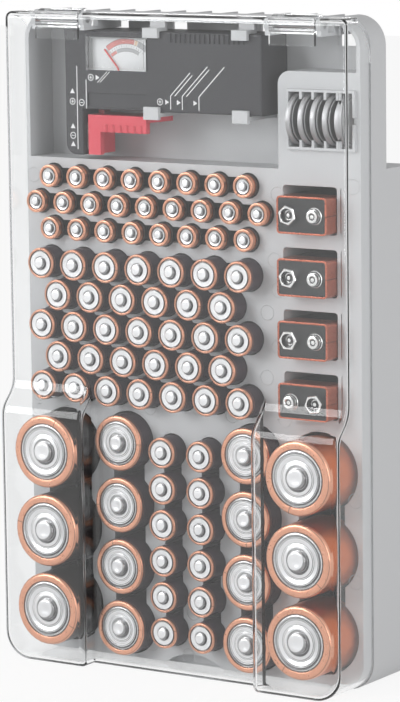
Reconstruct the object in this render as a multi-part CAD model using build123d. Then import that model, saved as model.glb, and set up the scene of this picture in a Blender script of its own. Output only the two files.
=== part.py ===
from build123d import *
from math import cos, pi, sin, sqrt
import os

# Battery storage case: a grey tray with a well for every cell, a clear cover hinged along the
# top edge, and a battery tester clipped into the top bay. Millimetres. X runs to the right, Y
# runs from the front to the back and Z runs up. The case stands on its bottom edge, which lies
# at Z = 0, and the origin is at the middle of that footprint.

# ---- standard cells: radius, length with the terminal, terminal size ----
aaa_radius = 5.15
aaa_length = 44.5
aaa_nub_radius = 1.9
aaa_nub_height = 0.8
aa_radius = 7.05
aa_length = 50.5
aa_nub_radius = 2.6
aa_nub_height = 1.2
c_radius = 12.75
c_length = 50.0
c_nub_radius = 3.6
c_nub_height = 1.5
d_radius = 16.7
d_length = 61.5
d_nub_radius = 4.7
d_nub_height = 1.5
nine_volt_width = 25.4
nine_volt_height = 16.6
nine_volt_body_length = 46.4
coin_radius = 11.5
coin_thickness = 3.5

# ---- how far each kind of cell stands proud of the deck, without its terminal ----
aaa_proud = 5.0
aa_proud = 9.7
c_proud = 9.3
d_proud = 19.5
nine_volt_proud = 8.4

# ---- wells: gap round each kind of cell, wall and floor ----
aaa_gap = 0.55
aa_gap = 0.55
c_gap = 0.85
d_gap = 1.3
well_wall = 1.2
well_floor = 1.4
back_gap = 1.1              # from the deepest well to the plane of the back
neck_share = 0.62           # width of the neck between two wells, as a share of the well

# ---- layout of the wells; pitches between centres ----
aaa_pitch = 14.95
aaa_row_pitch = 11.9
aaa_count = 8
aaa_rows = 3
aa_pitch = 17.74
aa_row_pitch = 14.1
aa_count = 7
aa_rows = 5
aa_column_x = 10.16
aa_column_pitch = 16.56
aa_column_count = 6
c_column_x = 34.08
c_pitch = 28.52
c_count = 4
d_column_x = 67.67
d_pitch = 36.58
d_count = 3
nine_volt_pitch = 27.45
nine_volt_count = 4
nine_volt_side_gap = 1.1
nine_volt_top_gap = 3.8
nine_volt_foot_gap = 0.6
edge_to_d_well = 2.33       # deck left outside the D wells
edge_to_c_well = 1.5        # deck left below the C wells
block_gap = 2.2             # deck between the columns below and the rows above
row_block_gap = 2.4         # deck between the AA rows and the AAA rows
aaa_block_left = 80.25      # centre of the outermost AAA cell, left of the middle
aa_block_left = 74.85       # centre of the outermost AA cell, left of the middle
pocket_x = 63.4             # middle of the 9 V pockets
deck_top_margin = 2.5       # deck above the top AAA row

# ---- tray ----
tray_wall = 2.0
deck_thickness = 2.0
lip_step = 2.0              # step from the skirt in to the lip
lip_height = 7.0            # from the ledge that the cover sits on to the deck
ledge_thickness = 2.0
corner_radius = 13.0
bay_height = 66.7           # from the deck's top edge to the top of the tray
bay_depth = 20.0            # from the deck plane to the back of the bay
shoulder_gap = 0.2          # how far the tray's top wall stays behind the deck plane
finger_chord_sag = 5.0
finger_radius = 25.5
finger_wall = 1.5
top_rib_pitch = 13.8
top_rib_count = 13
top_rib_thickness = 0.8
top_rib_rise = 1.7

# ---- coin cell rack ----
rack_height = 42.9          # plateau above the deck's top edge
rack_left = 47.5
rack_corner_radius = 6.0
coin_slot_pitch = 6.2
coin_slot_count = 5
coin_proud = 7.0
coin_foot = 10.1            # from the deck's top edge to the underside of the slots
coin_gap = 0.5
rack_right_margin = 1.2
rack_rim = 1.2
rack_rim_height = 1.6
fin_thickness = 1.3
fin_reach = 3.2
notch_height = 3.0
notch_depth = 6.0

# ---- cover ----
cover_wall = 1.6
cover_height = 14.6         # outer front of the shallow panel, in front of the deck
cover_lip_gap = 0.4
cover_foot = 0.6            # clearance under the cover, so that it swings clear of the table
cover_foot_gap = 0.6
edge_radius = 3.0
nub_clearance = 1.0         # from the tip of a D cell to the bulge
bulge_side_gap = 4.4
bulge_top_gap = 2.9         # where the slope starts, above the top of the D cells
bulge_slope = 9.0           # height of the slope
bulge_round = 10.0          # radius at its crest and at its foot
cover_seat_gap = 0.0
cover_top_corner = 3.2      # radius of the front's upper corners
cheek_radius = 20.0         # the side walls' upper rear corners, in side view

# ---- hinge ----
hinge_x = 62.0
barrel_length = 23.0
barrel_radius = 4.3
pin_radius = 1.75
pin_running_gap = 0.06
pin_seat_gap = 0.02
ear_thickness = 2.4
ear_radius = 3.8
ear_gap = 0.4
axis_drop = 3.0             # from the top of the case down to the hinge axis
axis_forward = 7.5          # from the deck plane forward to the hinge axis
arm_thickness = 1.5
barrel_hook_thickness = 1.4
barrel_hook_drop = 9.0

# ---- tester ----
tester_length = 105.0
tester_height = 35.6
tester_leg_width = 9.6
tester_thickness = 22.0
tester_front = 4.0          # front face, in front of the deck
tester_left = 63.2
tester_foot_gap = 2.2       # from the deck's top edge to the tester's leg
tester_head_gap = 8.2       # from the tester's top to the top of the tray
tester_wall = 1.8
tester_corner = 5.0
tester_seat_gap = 0.2
meter_left = 12.0           # from the tester's left end to the meter
meter_width = 33.0
meter_height = 15.0
meter_top_margin = 2.9
meter_frame = 1.3
meter_proud = 0.8
lens_thickness = 1.4
lens_skirt = 0.6
lens_sink = 0.4
lens_gap = 0.15
dial_depth = 2.2
dial_thickness = 0.8
dial_margin = 1.5
dial_top_margin = 0.5
dial_foot_margin = 4.0      # from the pivot down to the foot of the dial
needle_length = 17.6
needle_tail = 1.0
needle_width = 0.6
needle_thickness = 0.4
needle_sweep = 82.0
needle_pivot_drop = 4.0     # from the window down to the pivot
needle_pivot_right = 3.0    # from the middle of the window to the pivot
needle_clearance = 0.5
coil_radius = 2.6
coil_depth = 5.0
coil_gap = 0.4
shaft_radius = 0.5
movement_width = 26.0
movement_height = 17.0
movement_depth = 9.0
board_thickness = 1.6
board_length = 42.0
board_height = 20.0
boss_radius = 3.3
screw_radius = 1.2
screw_gap = 0.1
screw_head_radius = 2.5
screw_head_height = 1.4
screw_sink = 1.6

panel_height = 6.2
panel_sink = 0.6
ridge_count = 16
ridge_first_x = -5.2
ridge_pitch = 2.55
ridge_width = 1.0
ridge_height = 4.0
ridge_sink = 0.5

# ---- sliding arm ----
arm_left = 12.4             # from the tester's left end to the arm at rest
arm_length = 31.6
arm_bar_height = 7.6
arm_prong_width = 6.6
arm_foot_gap = 0.3          # how far the prong ends above the tester's leg
arm_plate = 2.8
arm_depth = 17.0
arm_top_gap = 2.4           # from the tester's underside down to the arm
arm_travel = 26.0
tongue_width = 3.0
tongue_depth = 5.0
tongue_gap = 0.3
shoe_height = 3.0
shoe_flange = 1.6
contact_thickness = 0.5
contact_width = 11.0
contact_foot_gap = 2.0      # from the end of the prong to the contact
contact_head_gap = 4.0      # from the contact to the top of the arm
grip_count = 6
grip_pitch = 4.2
grip_radius = 0.9
spring_wire = 0.5
spring_radius = 1.6
spring_turns = 12

# ---- tester clips on the tray ----
clip_width = 8.0
clip_xs = (-15.3, 31.6)
clip_gap = 0.3
clip_top_gap = 0.15
clip_thickness = 1.9
clip_bite = 2.7
clip_strap = 2.0
clip_arm = 1.6
foot_clip_thickness = 1.9
foot_clip_bite = 2.3
window_spans = ((-69.5, -61.2), (-57.2, -43.0), (67.4, 76.1))
window_height = 8.6
window_drop = 2.1           # from the hinge axis down to the windows

# ---- worked out from the sizes above ----
jacket = 0.25
jacket_gap = 0.05
aaa_hole = aaa_radius + aaa_gap
aa_hole = aa_radius + aa_gap
c_hole = c_radius + c_gap
d_hole = d_radius + d_gap
aaa_depth = aaa_length - aaa_nub_height - aaa_proud
aa_depth = aa_length - aa_nub_height - aa_proud
c_depth = c_length - c_nub_height - c_proud
d_depth = d_length - d_nub_height - d_proud
nine_volt_depth = nine_volt_body_length - nine_volt_proud
tray_depth = max(aaa_depth, aa_depth, c_depth, d_depth, nine_volt_depth) + well_floor + back_gap
bulge_height = d_proud + d_nub_height + nub_clearance + cover_wall
deck_y = (bulge_height - tray_depth) / 2

half_width = d_column_x + d_hole + edge_to_d_well + lip_step
lip_foot = cover_foot + cover_wall + cover_foot_gap
c_first_z = lip_foot + edge_to_c_well + c_hole
columns_top = c_first_z + (c_count - 1) * c_pitch + c_hole
d_first_z = columns_top - d_hole - (d_count - 1) * d_pitch - 0.9
aa_column_first_z = c_first_z + 0.4
aa_last_row_z = columns_top + block_gap + aa_hole
aa_first_row_z = aa_last_row_z + (aa_rows - 1) * aa_row_pitch
aaa_last_row_z = aa_first_row_z + aa_hole + row_block_gap + aaa_hole
aaa_first_row_z = aaa_last_row_z + (aaa_rows - 1) * aaa_row_pitch
deck_top = aaa_first_row_z + aaa_hole + deck_top_margin
case_top = deck_top + bay_height
tester_leg_height = bay_height - tester_foot_gap - tester_height - tester_head_gap
arm_prong_height = tester_leg_height - arm_top_gap - arm_foot_gap
contact_height = arm_prong_height - contact_foot_gap - contact_head_gap
pocket_width = nine_volt_width + 2 * nine_volt_side_gap
pocket_height = nine_volt_height + nine_volt_top_gap + nine_volt_foot_gap
pocket_first_z = deck_top - 6.9 - pocket_height / 2

hinge_y = deck_y - axis_forward
hinge_z = case_top - axis_drop
bulge_top = d_first_z + (d_count - 1) * d_pitch + d_radius + bulge_top_gap
bulge_inner_x = d_column_x - d_radius - bulge_side_gap - cover_wall


def front(height):
    """Y of a plane that lies this far in front of the deck."""
    return deck_y - height


def behind(depth):
    """Y of a plane that lies this far behind the deck."""
    return deck_y + depth


def block(x0, x1, y0, y1, z0, z1):
    return Pos((x0 + x1) / 2, (y0 + y1) / 2, (z0 + z1) / 2) * Box(x1 - x0, y1 - y0, z1 - z0)


def rod_y(x, z, radius, y0, y1):
    """Cylinder along Y between two planes."""
    return Pos(x, (y0 + y1) / 2, z) * Rot(90, 0, 0) * Cylinder(radius, y1 - y0)


def rod_x(y, z, radius, x0, x1):
    """Cylinder along X between two planes."""
    return Pos((x0 + x1) / 2, y, z) * Rot(0, 90, 0) * Cylinder(radius, x1 - x0)


def slab(face, y0, y1):
    """A front-view outline, drawn in X and Z, made solid between two planes."""
    plane = Plane((0, y1, 0), x_dir=(1, 0, 0), z_dir=(0, -1, 0))
    return extrude(plane * face, amount=y1 - y0)


def strip(points, x0, x1):
    """A side-view outline, drawn in Y and Z, made solid between two planes."""
    plane = Plane((x0, 0, 0), x_dir=(0, 1, 0), z_dir=(1, 0, 0))
    return extrude(plane * make_face(Polyline(points, close=True)), amount=x1 - x0)


def rounded(x0, x1, z0, z1, radius):
    return Pos((x0 + x1) / 2, (z0 + z1) / 2) * RectangleRounded(x1 - x0, z1 - z0, radius)


def plain(x0, x1, z0, z1):
    return Pos((x0 + x1) / 2, (z0 + z1) / 2) * Rectangle(x1 - x0, z1 - z0)


def together(shapes):
    """One shape from a list, joined in a single step."""
    shapes = list(shapes)
    return shapes[0].fuse(*shapes[1:]) if len(shapes) > 1 else shapes[0]


# ---- where every round cell stands: rows run along X, columns run along Z ----
def aaa_places():
    """Three rows: the middle one starts half a pitch further out and holds one more cell."""
    result = []
    for row in range(aaa_rows):
        outer = row % 2 == 1
        start = -aaa_block_left + (0 if outer else aaa_pitch / 2)
        number = aaa_count + (1 if outer else 0)
        z = aaa_first_row_z - row * aaa_row_pitch
        result.append([(start + i * aaa_pitch, z) for i in range(number)])
    return result


def aa_places():
    """Five rows: every second one is shifted in by half a pitch and holds one cell less."""
    result = []
    for row in range(aa_rows):
        inner = row % 2 == 1
        start = -aa_block_left + (aa_pitch / 2 if inner else 0)
        number = aa_count - (1 if inner else 0)
        z = aa_first_row_z - row * aa_row_pitch
        result.append([(start + i * aa_pitch, z) for i in range(number)])
    return result


def column_places(x, first_z, pitch, count):
    return [(x, first_z + i * pitch) for i in range(count)]


CELL_GROUPS = {}
for number, places in enumerate(aaa_places(), start=1):
    CELL_GROUPS[f"aaa_row_{number}"] = ("aaa", places)
for number, places in enumerate(aa_places(), start=1):
    CELL_GROUPS[f"aa_row_{number}"] = ("aa", places)
for side, sign in (("left", -1), ("right", 1)):
    CELL_GROUPS[f"aa_column_{side}"] = ("aa", column_places(
        sign * aa_column_x, aa_column_first_z, aa_column_pitch, aa_column_count))
    CELL_GROUPS[f"c_column_{side}"] = ("c", column_places(
        sign * c_column_x, c_first_z, c_pitch, c_count))
    CELL_GROUPS[f"d_column_{side}"] = ("d", column_places(
        sign * d_column_x, d_first_z, d_pitch, d_count))

# radius, well radius, proud height, well depth, terminal radius and height, ring share
CELL_KINDS = {
    "aaa": (aaa_radius, aaa_hole, aaa_proud, aaa_depth, aaa_nub_radius, aaa_nub_height, 0.70),
    "aa": (aa_radius, aa_hole, aa_proud, aa_depth, aa_nub_radius, aa_nub_height, 0.82),
    "c": (c_radius, c_hole, c_proud, c_depth, c_nub_radius, c_nub_height, 0.79),
    "d": (d_radius, d_hole, d_proud, d_depth, d_nub_radius, d_nub_height, 0.77),
}


def pocket_centres():
    return [(pocket_x, pocket_first_z - i * nine_volt_pitch) for i in range(nine_volt_count)]


# ---- tray ----
def well_outline(kind, places, extra):
    """Scalloped opening: a circle for each cell, and a neck between neighbours."""
    hole = CELL_KINDS[kind][1]
    shapes = [Pos(x, z) * Circle(hole + extra) for x, z in places]
    neck = 2 * (hole * neck_share + extra)
    for (x0, z0), (x1, z1) in zip(places, places[1:]):
        run = sqrt((x1 - x0) ** 2 + (z1 - z0) ** 2)
        along_x = abs(x1 - x0) > abs(z1 - z0)
        size = (run, neck) if along_x else (neck, run)
        shapes.append(Pos((x0 + x1) / 2, (z0 + z1) / 2) * Rectangle(*size))
    return together(shapes)


def pocket_outline(x, z, extra):
    return Pos(x, z) * RectangleRounded(pocket_width + 2 * extra, pocket_height + 2 * extra,
                                        1.5 + extra)


def case_outline(inset, z0, z1):
    """Outline of the whole case, cut to a band of heights."""
    whole = rounded(-half_width + inset, half_width - inset, inset, case_top - inset,
                    corner_radius - inset)
    return whole & plain(-half_width, half_width, z0, z1)


def lip_outline(inset):
    return rounded(-half_width + lip_step + inset, half_width - lip_step - inset,
                   lip_foot + inset, case_top - lip_step - inset, corner_radius - lip_step - inset)


def make_moulding():
    """The whole grey moulding: deck, wells, skirt, top bay, ears and clips."""
    shoulder_z = case_top - corner_radius + cover_lip_gap
    deck_back = behind(deck_thickness)
    ledge_back = behind(lip_height + ledge_thickness)
    bay_floor = behind(bay_depth - tray_wall)
    back = behind(tray_depth)
    body = slab(lip_outline(0), deck_y, behind(lip_height + 1))
    body += slab(case_outline(0, 0, case_top), behind(lip_height), behind(bay_depth))
    body += slab(case_outline(0, 0, deck_top), behind(bay_depth), back)
    shoulder = plain(corner_radius - half_width, half_width - corner_radius, shoulder_z, case_top)
    body += slab(shoulder, behind(shoulder_gap), behind(lip_height + 1))

    # hollow lower body, open at the back
    lower = plain(-half_width, half_width, 0, deck_top - tray_wall)
    body -= slab(lip_outline(tray_wall) & lower, deck_back, ledge_back)
    body -= slab(case_outline(tray_wall, 0, case_top) & lower, ledge_back, back + 1)

    # top bay, open at the front, beside the plateau of the coin cell rack
    plateau = rack_outline(0)
    bay = (lip_outline(tray_wall) & plain(-half_width, half_width, deck_top, case_top)) - plateau
    body -= slab(bay, deck_y - 1, bay_floor)
    body -= slab(rack_outline(tray_wall), deck_back, behind(bay_depth) + 1)

    # wells: tubes with floors first, then their openings
    tubes = []
    openings = []
    for kind, places in CELL_GROUPS.values():
        depth = CELL_KINDS[kind][3]
        tubes.append(slab(well_outline(kind, places, well_wall), deck_y, behind(depth + well_floor)))
        openings.append(slab(well_outline(kind, places, 0), deck_y - 1, behind(depth)))
    for x, z in pocket_centres():
        tubes.append(slab(pocket_outline(x, z, well_wall), deck_y, behind(nine_volt_depth + well_floor)))
        openings.append(slab(pocket_outline(x, z, 0), deck_y - 1, behind(nine_volt_depth)))
    tubes.append(rack_well(0))
    openings.append(rack_well(rack_rim))
    body = body.fuse(*tubes).cut(*openings)
    body += rack_rim_and_fins()

    # half-moon finger recess in the bottom edge of the deck
    moon_z = lip_foot + finger_chord_sag - finger_radius
    above = plain(-half_width, half_width, lip_foot, deck_top)
    body += slab((Pos(0, moon_z) * Circle(finger_radius + finger_wall)) & above, deck_y, ledge_back)
    body -= slab(Pos(0, moon_z) * Circle(finger_radius), deck_y - 1, behind(lip_height))

    body = top_ribs(body, bay_floor)
    window_z1 = hinge_z - window_drop
    behind_clips = [(x - clip_width / 2, x + clip_width / 2) for x in clip_xs]
    for x0, x1 in (*window_spans, *behind_clips):
        body -= block(x0, x1, bay_floor - 1, behind(bay_depth) + 1, window_z1 - window_height, window_z1)
    for ear in hinge_ears():
        body += ear
    for clip in tester_clips():
        body += clip
    for x0, x1 in ear_spans():
        body -= rod_x(hinge_y, hinge_z, pin_radius + pin_seat_gap, x0 - 0.1, x1 + 0.1)
    return body


def make_tray(moulding):
    """Deck, wells and skirt: the moulding up to the top edge of the deck."""
    return moulding & block(-half_width, half_width, deck_y - 1, behind(tray_depth) + 1, 0, deck_top)


def make_top_bay(moulding):
    """Bay of the tester and of the coin cells, which closes the moulding above the deck."""
    return moulding & block(-half_width, half_width, front(bulge_height), behind(tray_depth) + 1,
                            deck_top, hinge_z + ear_radius + 1)


def rack_outline(inset):
    """Plateau that carries the coin cell rack; only its upper inner corner is round."""
    x0 = rack_left + inset
    x1 = half_width - lip_step - inset
    z0 = deck_top - tray_wall
    z1 = deck_top + rack_height - inset
    radius = rack_corner_radius - inset
    corner = plain(x0, x0 + radius, z1 - radius, z1) - Pos(x0 + radius, z1 - radius) * Circle(radius)
    return plain(x0, x1, z0, z1) - corner


def rack_slots():
    """Box of the five coin slots: left, right, underside and top."""
    right = half_width - lip_step - tray_wall - rack_right_margin
    left = right - coin_slot_count * coin_slot_pitch
    foot = deck_top + coin_foot
    return left, right, foot, foot + 2 * (coin_radius + coin_gap)


def coin_axis():
    """Y and Z of the common axis of the coin cells."""
    left, right, foot, top = rack_slots()
    return front(coin_proud) + coin_radius, foot + coin_gap + coin_radius


def rack_well(inset):
    left, right, foot, top = rack_slots()
    edge = rack_rim - inset
    y1 = coin_axis()[0] + coin_radius + (rack_rim if inset == 0 else 0)
    y0 = deck_y if inset == 0 else deck_y - rack_rim_height - 1
    return block(left - edge, right + edge, y0, y1, foot - edge, top + edge)


def rack_rim_and_fins():
    """Raised rim round the slots and the fins between them, with notches in the end walls."""
    left, right, foot, top = rack_slots()
    rim = block(left - rack_rim, right + rack_rim, front(rack_rim_height), deck_y,
                foot - rack_rim, top + rack_rim)
    rim -= block(left, right, front(rack_rim_height + 1), deck_y + 1, foot, top)
    axis_y, axis_z = coin_axis()
    floor_y = axis_y + coin_radius
    fins = []
    for i in range(1, coin_slot_count):
        x = left + i * coin_slot_pitch
        for z0, z1 in ((foot - 0.1, foot + fin_reach), (top - fin_reach, top + 0.1)):
            fins.append(block(x - fin_thickness / 2, x + fin_thickness / 2,
                              front(rack_rim_height), floor_y + 0.1, z0, z1))
    rim = rim.fuse(*fins)
    rim -= block(left - 2 * rack_rim, right + 2 * rack_rim, front(rack_rim_height + 1),
                 deck_y - 0.01, axis_z - notch_height / 2, axis_z + notch_height / 2)
    return rim


def top_ribs(body, bay_floor):
    """The top wall falls away towards the back, and thin ribs keep its level."""
    y0 = behind(lip_height)
    y1 = behind(bay_depth)
    reach = half_width - corner_radius
    wedge = [(y0, case_top), (y1 + 1, case_top + 1), (y1 + 1, case_top - top_rib_rise)]
    body -= strip(wedge, -reach, reach)
    for i in range(top_rib_count):
        x = (i - (top_rib_count - 1) / 2) * top_rib_pitch
        if abs(x) + top_rib_thickness / 2 > reach:
            x = (reach - top_rib_thickness / 2) * (1 if x > 0 else -1)
        rib = [(y0, case_top), (y1, case_top), (y1, case_top - top_rib_rise - 0.5),
               (y0, case_top - 0.5)]
        body += strip(rib, x - top_rib_thickness / 2, x + top_rib_thickness / 2)
    return body


def ear_spans():
    """X ranges of the four ears, two for each hinge pin."""
    spans = []
    for side in (-1, 1):
        for end in (-1, 1):
            inner = side * hinge_x + end * (barrel_length / 2 + ear_gap)
            outer = inner + end * ear_thickness
            spans.append((min(inner, outer), max(inner, outer)))
    return spans


def hinge_ears():
    """J-shaped ears: down from the top wall, forward under the sweep of the cover, up to the pin."""
    arm_top = hinge_z - ear_radius + 0.3
    arm_foot = arm_top - arm_thickness
    root = behind(shoulder_gap)
    ears = []
    for x0, x1 in ear_spans():
        ear = rod_x(hinge_y, hinge_z, ear_radius, x0, x1)
        ear += block(x0, x1, hinge_y - ear_radius * 0.75, hinge_y + ear_radius * 0.75,
                     arm_foot, hinge_z)
        ear += block(x0, x1, hinge_y, root + tray_wall, arm_foot, arm_top)
        ear += block(x0, x1, root, behind(bay_depth - 1), arm_foot, case_top - lip_step)
        ears.append(ear)
    return ears


def tester_top():
    return tester_foot() + tester_leg_height + tester_height


def tester_foot():
    return deck_top + tester_foot_gap


def tester_under():
    """Underside of the tester's main body."""
    return tester_foot() + tester_leg_height


def tester_clips():
    """Two hooks over the tester's top edge and two under its bottom edge."""
    face = front(tester_front)
    hook_y1 = face - clip_gap
    hook_y0 = hook_y1 - clip_thickness
    arm_foot = tester_top() + clip_top_gap
    arm_top = arm_foot + clip_arm
    clips = []
    for x in clip_xs:
        x0 = x - clip_width / 2
        x1 = x + clip_width / 2
        strap_y = behind(shoulder_gap)
        upper = block(x0, x1, strap_y, strap_y + clip_strap, arm_foot, case_top - lip_step + 0.5)
        upper += block(x0, x1, hook_y0, strap_y + clip_strap, arm_foot, arm_top)
        upper += block(x0, x1, hook_y0, hook_y1, tester_top() - clip_bite, arm_top)
        clips.append(upper)
        stem_top = tester_under() - clip_gap
        stem_foot = stem_top - foot_clip_thickness
        lower = block(x0, x1, hook_y0, behind(bay_depth - 1), stem_foot, stem_top)
        lower += block(x0, x1, hook_y0, hook_y1, stem_foot - 1.2, tester_under() + foot_clip_bite)
        clips.append(lower)
    return clips


# ---- cover ----
def bulge_face(inset):
    """Side view of one bulge: a flat front that curves back into the shallow panel."""
    y_root = front(cover_height) + 4
    y_front = front(bulge_height) + inset
    y_shallow = front(cover_height) + inset
    rise = bulge_height - cover_height
    lean = (sqrt(rise ** 2 + bulge_slope ** 2) - bulge_slope) / rise
    z0 = cover_foot + inset
    z1 = bulge_top - inset * lean
    z2 = z1 + bulge_slope
    z3 = z2 + bulge_round
    points = [(y_root, z0), (y_front, z0), (y_front, z1), (y_shallow, z2), (y_shallow, z3),
              (y_root, z3)]
    face = make_face(Polyline(points, close=True))
    crest = face.vertices().sort_by_distance((y_front, z1))[0]
    face = fillet(crest, bulge_round - inset)
    foot = face.vertices().sort_by_distance((y_shallow, z2))[0]
    return fillet(foot, bulge_round + inset)


def make_bulge(side, inset):
    """One deep bulge over a column of large cells, with its edges rounded."""
    inner = bulge_inner_x + inset
    outer = half_width - inset
    x0 = inner if side > 0 else -outer
    plane = Plane((x0, 0, 0), x_dir=(0, 1, 0), z_dir=(1, 0, 0))
    bulge = extrude(plane * bulge_face(inset), amount=outer - inner)
    bulge &= slab(cover_outline(inset), front(bulge_height) - 1, front(cover_height) + 5)
    corner = bulge.edges().filter_by(Axis.Y).sort_by(Axis.Z)[:4]
    corner = corner.sort_by_distance((side * inner, front(bulge_height) + 4, cover_foot + inset))[0]
    bulge = fillet(corner, edge_radius - inset)
    limit = front(cover_height) + inset + 0.2
    rim = [edge for edge in bulge.edges()
           if max(v.Y for v in edge.vertices()) < limit and not is_level_fold(edge)]
    return fillet(rim, edge_radius - inset)


def is_level_fold(edge):
    """True for the lines along X above the bottom edge, where the curved front changes."""
    box = edge.bounding_box()
    return box.size.Z < 0.01 and box.min.Z > bulge_top - 3 * bulge_round


def cover_outline(inset):
    """Front view of the cover: round lower corners, and tight ones beside the hinge."""
    x0 = -half_width + inset
    x1 = half_width - inset
    z1 = case_top - inset
    outline = rounded(x0, x1, cover_foot + inset, z1, corner_radius - inset)
    return outline + rounded(x0, x1, deck_top, z1, cover_top_corner - inset)


def cover_shape(inset):
    """Solid shape of the cover at a given inset from its outer skin."""
    back = behind(lip_height) + (1 if inset else -cover_seat_gap)
    shell = slab(cover_outline(inset), front(cover_height) + inset, back)
    shell = fillet(shell.faces().sort_by(Axis.Y)[0].edges(), edge_radius - inset)
    return shell + make_bulge(-1, inset) + make_bulge(1, inset)


def make_cover():
    cover = cover_shape(0) - cover_shape(cover_wall)
    # only the side walls and the bottom wall reach back to the ledge, round at their top
    inside = half_width - cover_wall
    cover -= block(-inside, inside, deck_y - 1.1, behind(lip_height + 2),
                   case_top - corner_radius, case_top + 1)
    cheek_y = behind(lip_height) - cheek_radius
    cheek_z = case_top - cheek_radius
    corner = block(-half_width - 1, half_width + 1, cheek_y, behind(lip_height + 2), cheek_z,
                   case_top + 1)
    corner -= rod_x(cheek_y, cheek_z, cheek_radius, -half_width - 1, half_width + 1)
    for x0, x1 in ((-half_width - 1, -inside), (inside, half_width + 1)):
        cover -= corner & block(x0, x1, cheek_y, behind(lip_height + 2), cheek_z, case_top + 1)
    inner = hinge_x + barrel_length / 2 + ear_gap + ear_thickness + ear_gap
    cover -= block(-inner, inner, hinge_y, behind(lip_height + 2), hinge_z - 2, case_top + 1)
    for x0, x1 in ear_spans():
        cover -= block(x0 - ear_gap, x1 + ear_gap, hinge_y - ear_radius - 1, hinge_y + 10,
                       hinge_z - 1, case_top + 1)
    for side in (-1, 1):
        x0 = side * hinge_x - barrel_length / 2
        x1 = x0 + barrel_length
        barrel = rod_x(hinge_y, hinge_z, barrel_radius, x0, x1)
        barrel += block(x0, x1, hinge_y - barrel_radius, hinge_y - barrel_radius + barrel_hook_thickness,
                        hinge_z - barrel_hook_drop, hinge_z)
        barrel += block(x0, x1, front(cover_height) + cover_wall / 2, hinge_y - 1,
                        hinge_z + pin_radius + 0.4, case_top - 0.4)
        cover += barrel
        cover -= rod_x(hinge_y, hinge_z, pin_radius + pin_running_gap, x0 - 0.1, x1 + 0.1)
    return cover


def make_hinge_pin(side):
    reach = barrel_length / 2 + ear_gap + ear_thickness
    return rod_x(hinge_y, hinge_z, pin_radius, side * hinge_x - reach, side * hinge_x + reach)


# ---- tester ----
def tester_outline(inset):
    """Front view of the tester: a bar with a leg at its left end."""
    x0 = -tester_left + inset
    x1 = -tester_left + tester_length - inset
    leg = x0 + tester_leg_width - 2 * inset
    z0 = tester_foot() + inset
    z1 = tester_under() + inset
    z2 = tester_top() - inset
    outline = plain(x0, x1, z1, z2) + plain(x0, leg, z0, z2)
    corner = tester_corner - inset
    outline -= plain(x0, x0 + corner, z0, z0 + corner) - Pos(x0 + corner, z0 + corner) * Circle(corner)
    return outline


def tester_planes():
    """Front, split and back planes of the tester."""
    y0 = front(tester_front)
    y1 = y0 + tester_thickness
    return y0, (y0 + y1) / 2, y1 - tester_seat_gap


def meter_box():
    x0 = -tester_left + meter_left
    z1 = tester_top() - meter_top_margin
    return x0, x0 + meter_width, z1 - meter_height, z1


def slot_span():
    """X range of the slot that the arm's tongue slides in."""
    x0 = -tester_left + arm_left - tongue_gap
    return x0, x0 + tongue_width + arm_travel + 2 * tongue_gap


def tongue_y():
    y = tester_planes()[1]
    return y - tongue_depth / 2, y + tongue_depth / 2


def boss_places():
    left = -tester_left + 4.8
    right = -tester_left + tester_length - 5.4
    return [(left, tester_foot() + 6.5), (left, tester_top() - 5.4), (right, tester_top() - 5.4),
            (right, tester_under() + 5.4)]


def make_front_shell():
    y0, y1, y2 = tester_planes()
    shell = slab(tester_outline(0), y0, y1)
    shell = fillet(shell.faces().sort_by(Axis.Y)[0].edges(), 0.8)
    shell -= slab(tester_outline(tester_wall), y0 + tester_wall, y1 + 1)
    x0, x1, z0, z1 = meter_box()
    shell -= block(x0, x1, y0 - 1, y0 + tester_wall + 1, z0, z1)
    for x, z in boss_places():
        shell += rod_y(x, z, boss_radius, y0 + tester_wall / 2, y1)
        shell -= rod_y(x, z, screw_radius + screw_gap, y0 + tester_wall + 1, y1 + 1)
    sx0, sx1 = slot_span()
    ty0, ty1 = tongue_y()
    shell -= block(sx0, sx1, ty0 - tongue_gap, y1 + 1, tester_under() - 1,
                   tester_under() + tester_wall + 1)
    mx0, mx1, mz0, mz1 = meter_box()
    rest = tester_under() + 1.2
    shell -= block(mx0 + 0.5, mx1 - 1, y0 - 1, y0 + panel_sink, rest, rest + panel_height)
    for i in range(ridge_count):
        x = ridge_first_x + i * ridge_pitch
        shell -= block(x - ridge_width / 2, x + ridge_width / 2, y0 - 1, y0 + ridge_sink,
                       tester_top() - ridge_height - 0.6, tester_top() - 0.6)
    return shell


def make_rear_shell():
    y0, y1, y2 = tester_planes()
    shell = slab(tester_outline(0), y1, y2)
    shell = fillet(shell.faces().sort_by(Axis.Y)[-1].edges(), 0.8)
    shell -= slab(tester_outline(tester_wall), y1 - 1, y2 - tester_wall)
    for x, z in boss_places():
        shell += rod_y(x, z, boss_radius, y1, y2 - tester_wall / 2)
        shell -= rod_y(x, z, screw_radius + screw_gap, y1 - 1, y2 + 1)
        shell -= rod_y(x, z, screw_head_radius + screw_gap, y2 - screw_sink, y2 + 1)
    sx0, sx1 = slot_span()
    ty0, ty1 = tongue_y()
    shell -= block(sx0, sx1, y1 - 1, ty1 + tongue_gap, tester_under() - 1,
                   tester_under() + tester_wall + 1)
    return shell


def make_tester_screws():
    y0, y1, y2 = tester_planes()
    head = y2 - screw_sink
    screws = []
    for x, z in boss_places():
        screw = rod_y(x, z, screw_radius, y0 + tester_wall + 2, head + 0.1)
        screw += rod_y(x, z, screw_head_radius, head, head + screw_head_height)
        screws.append(screw)
    return screws


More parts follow.
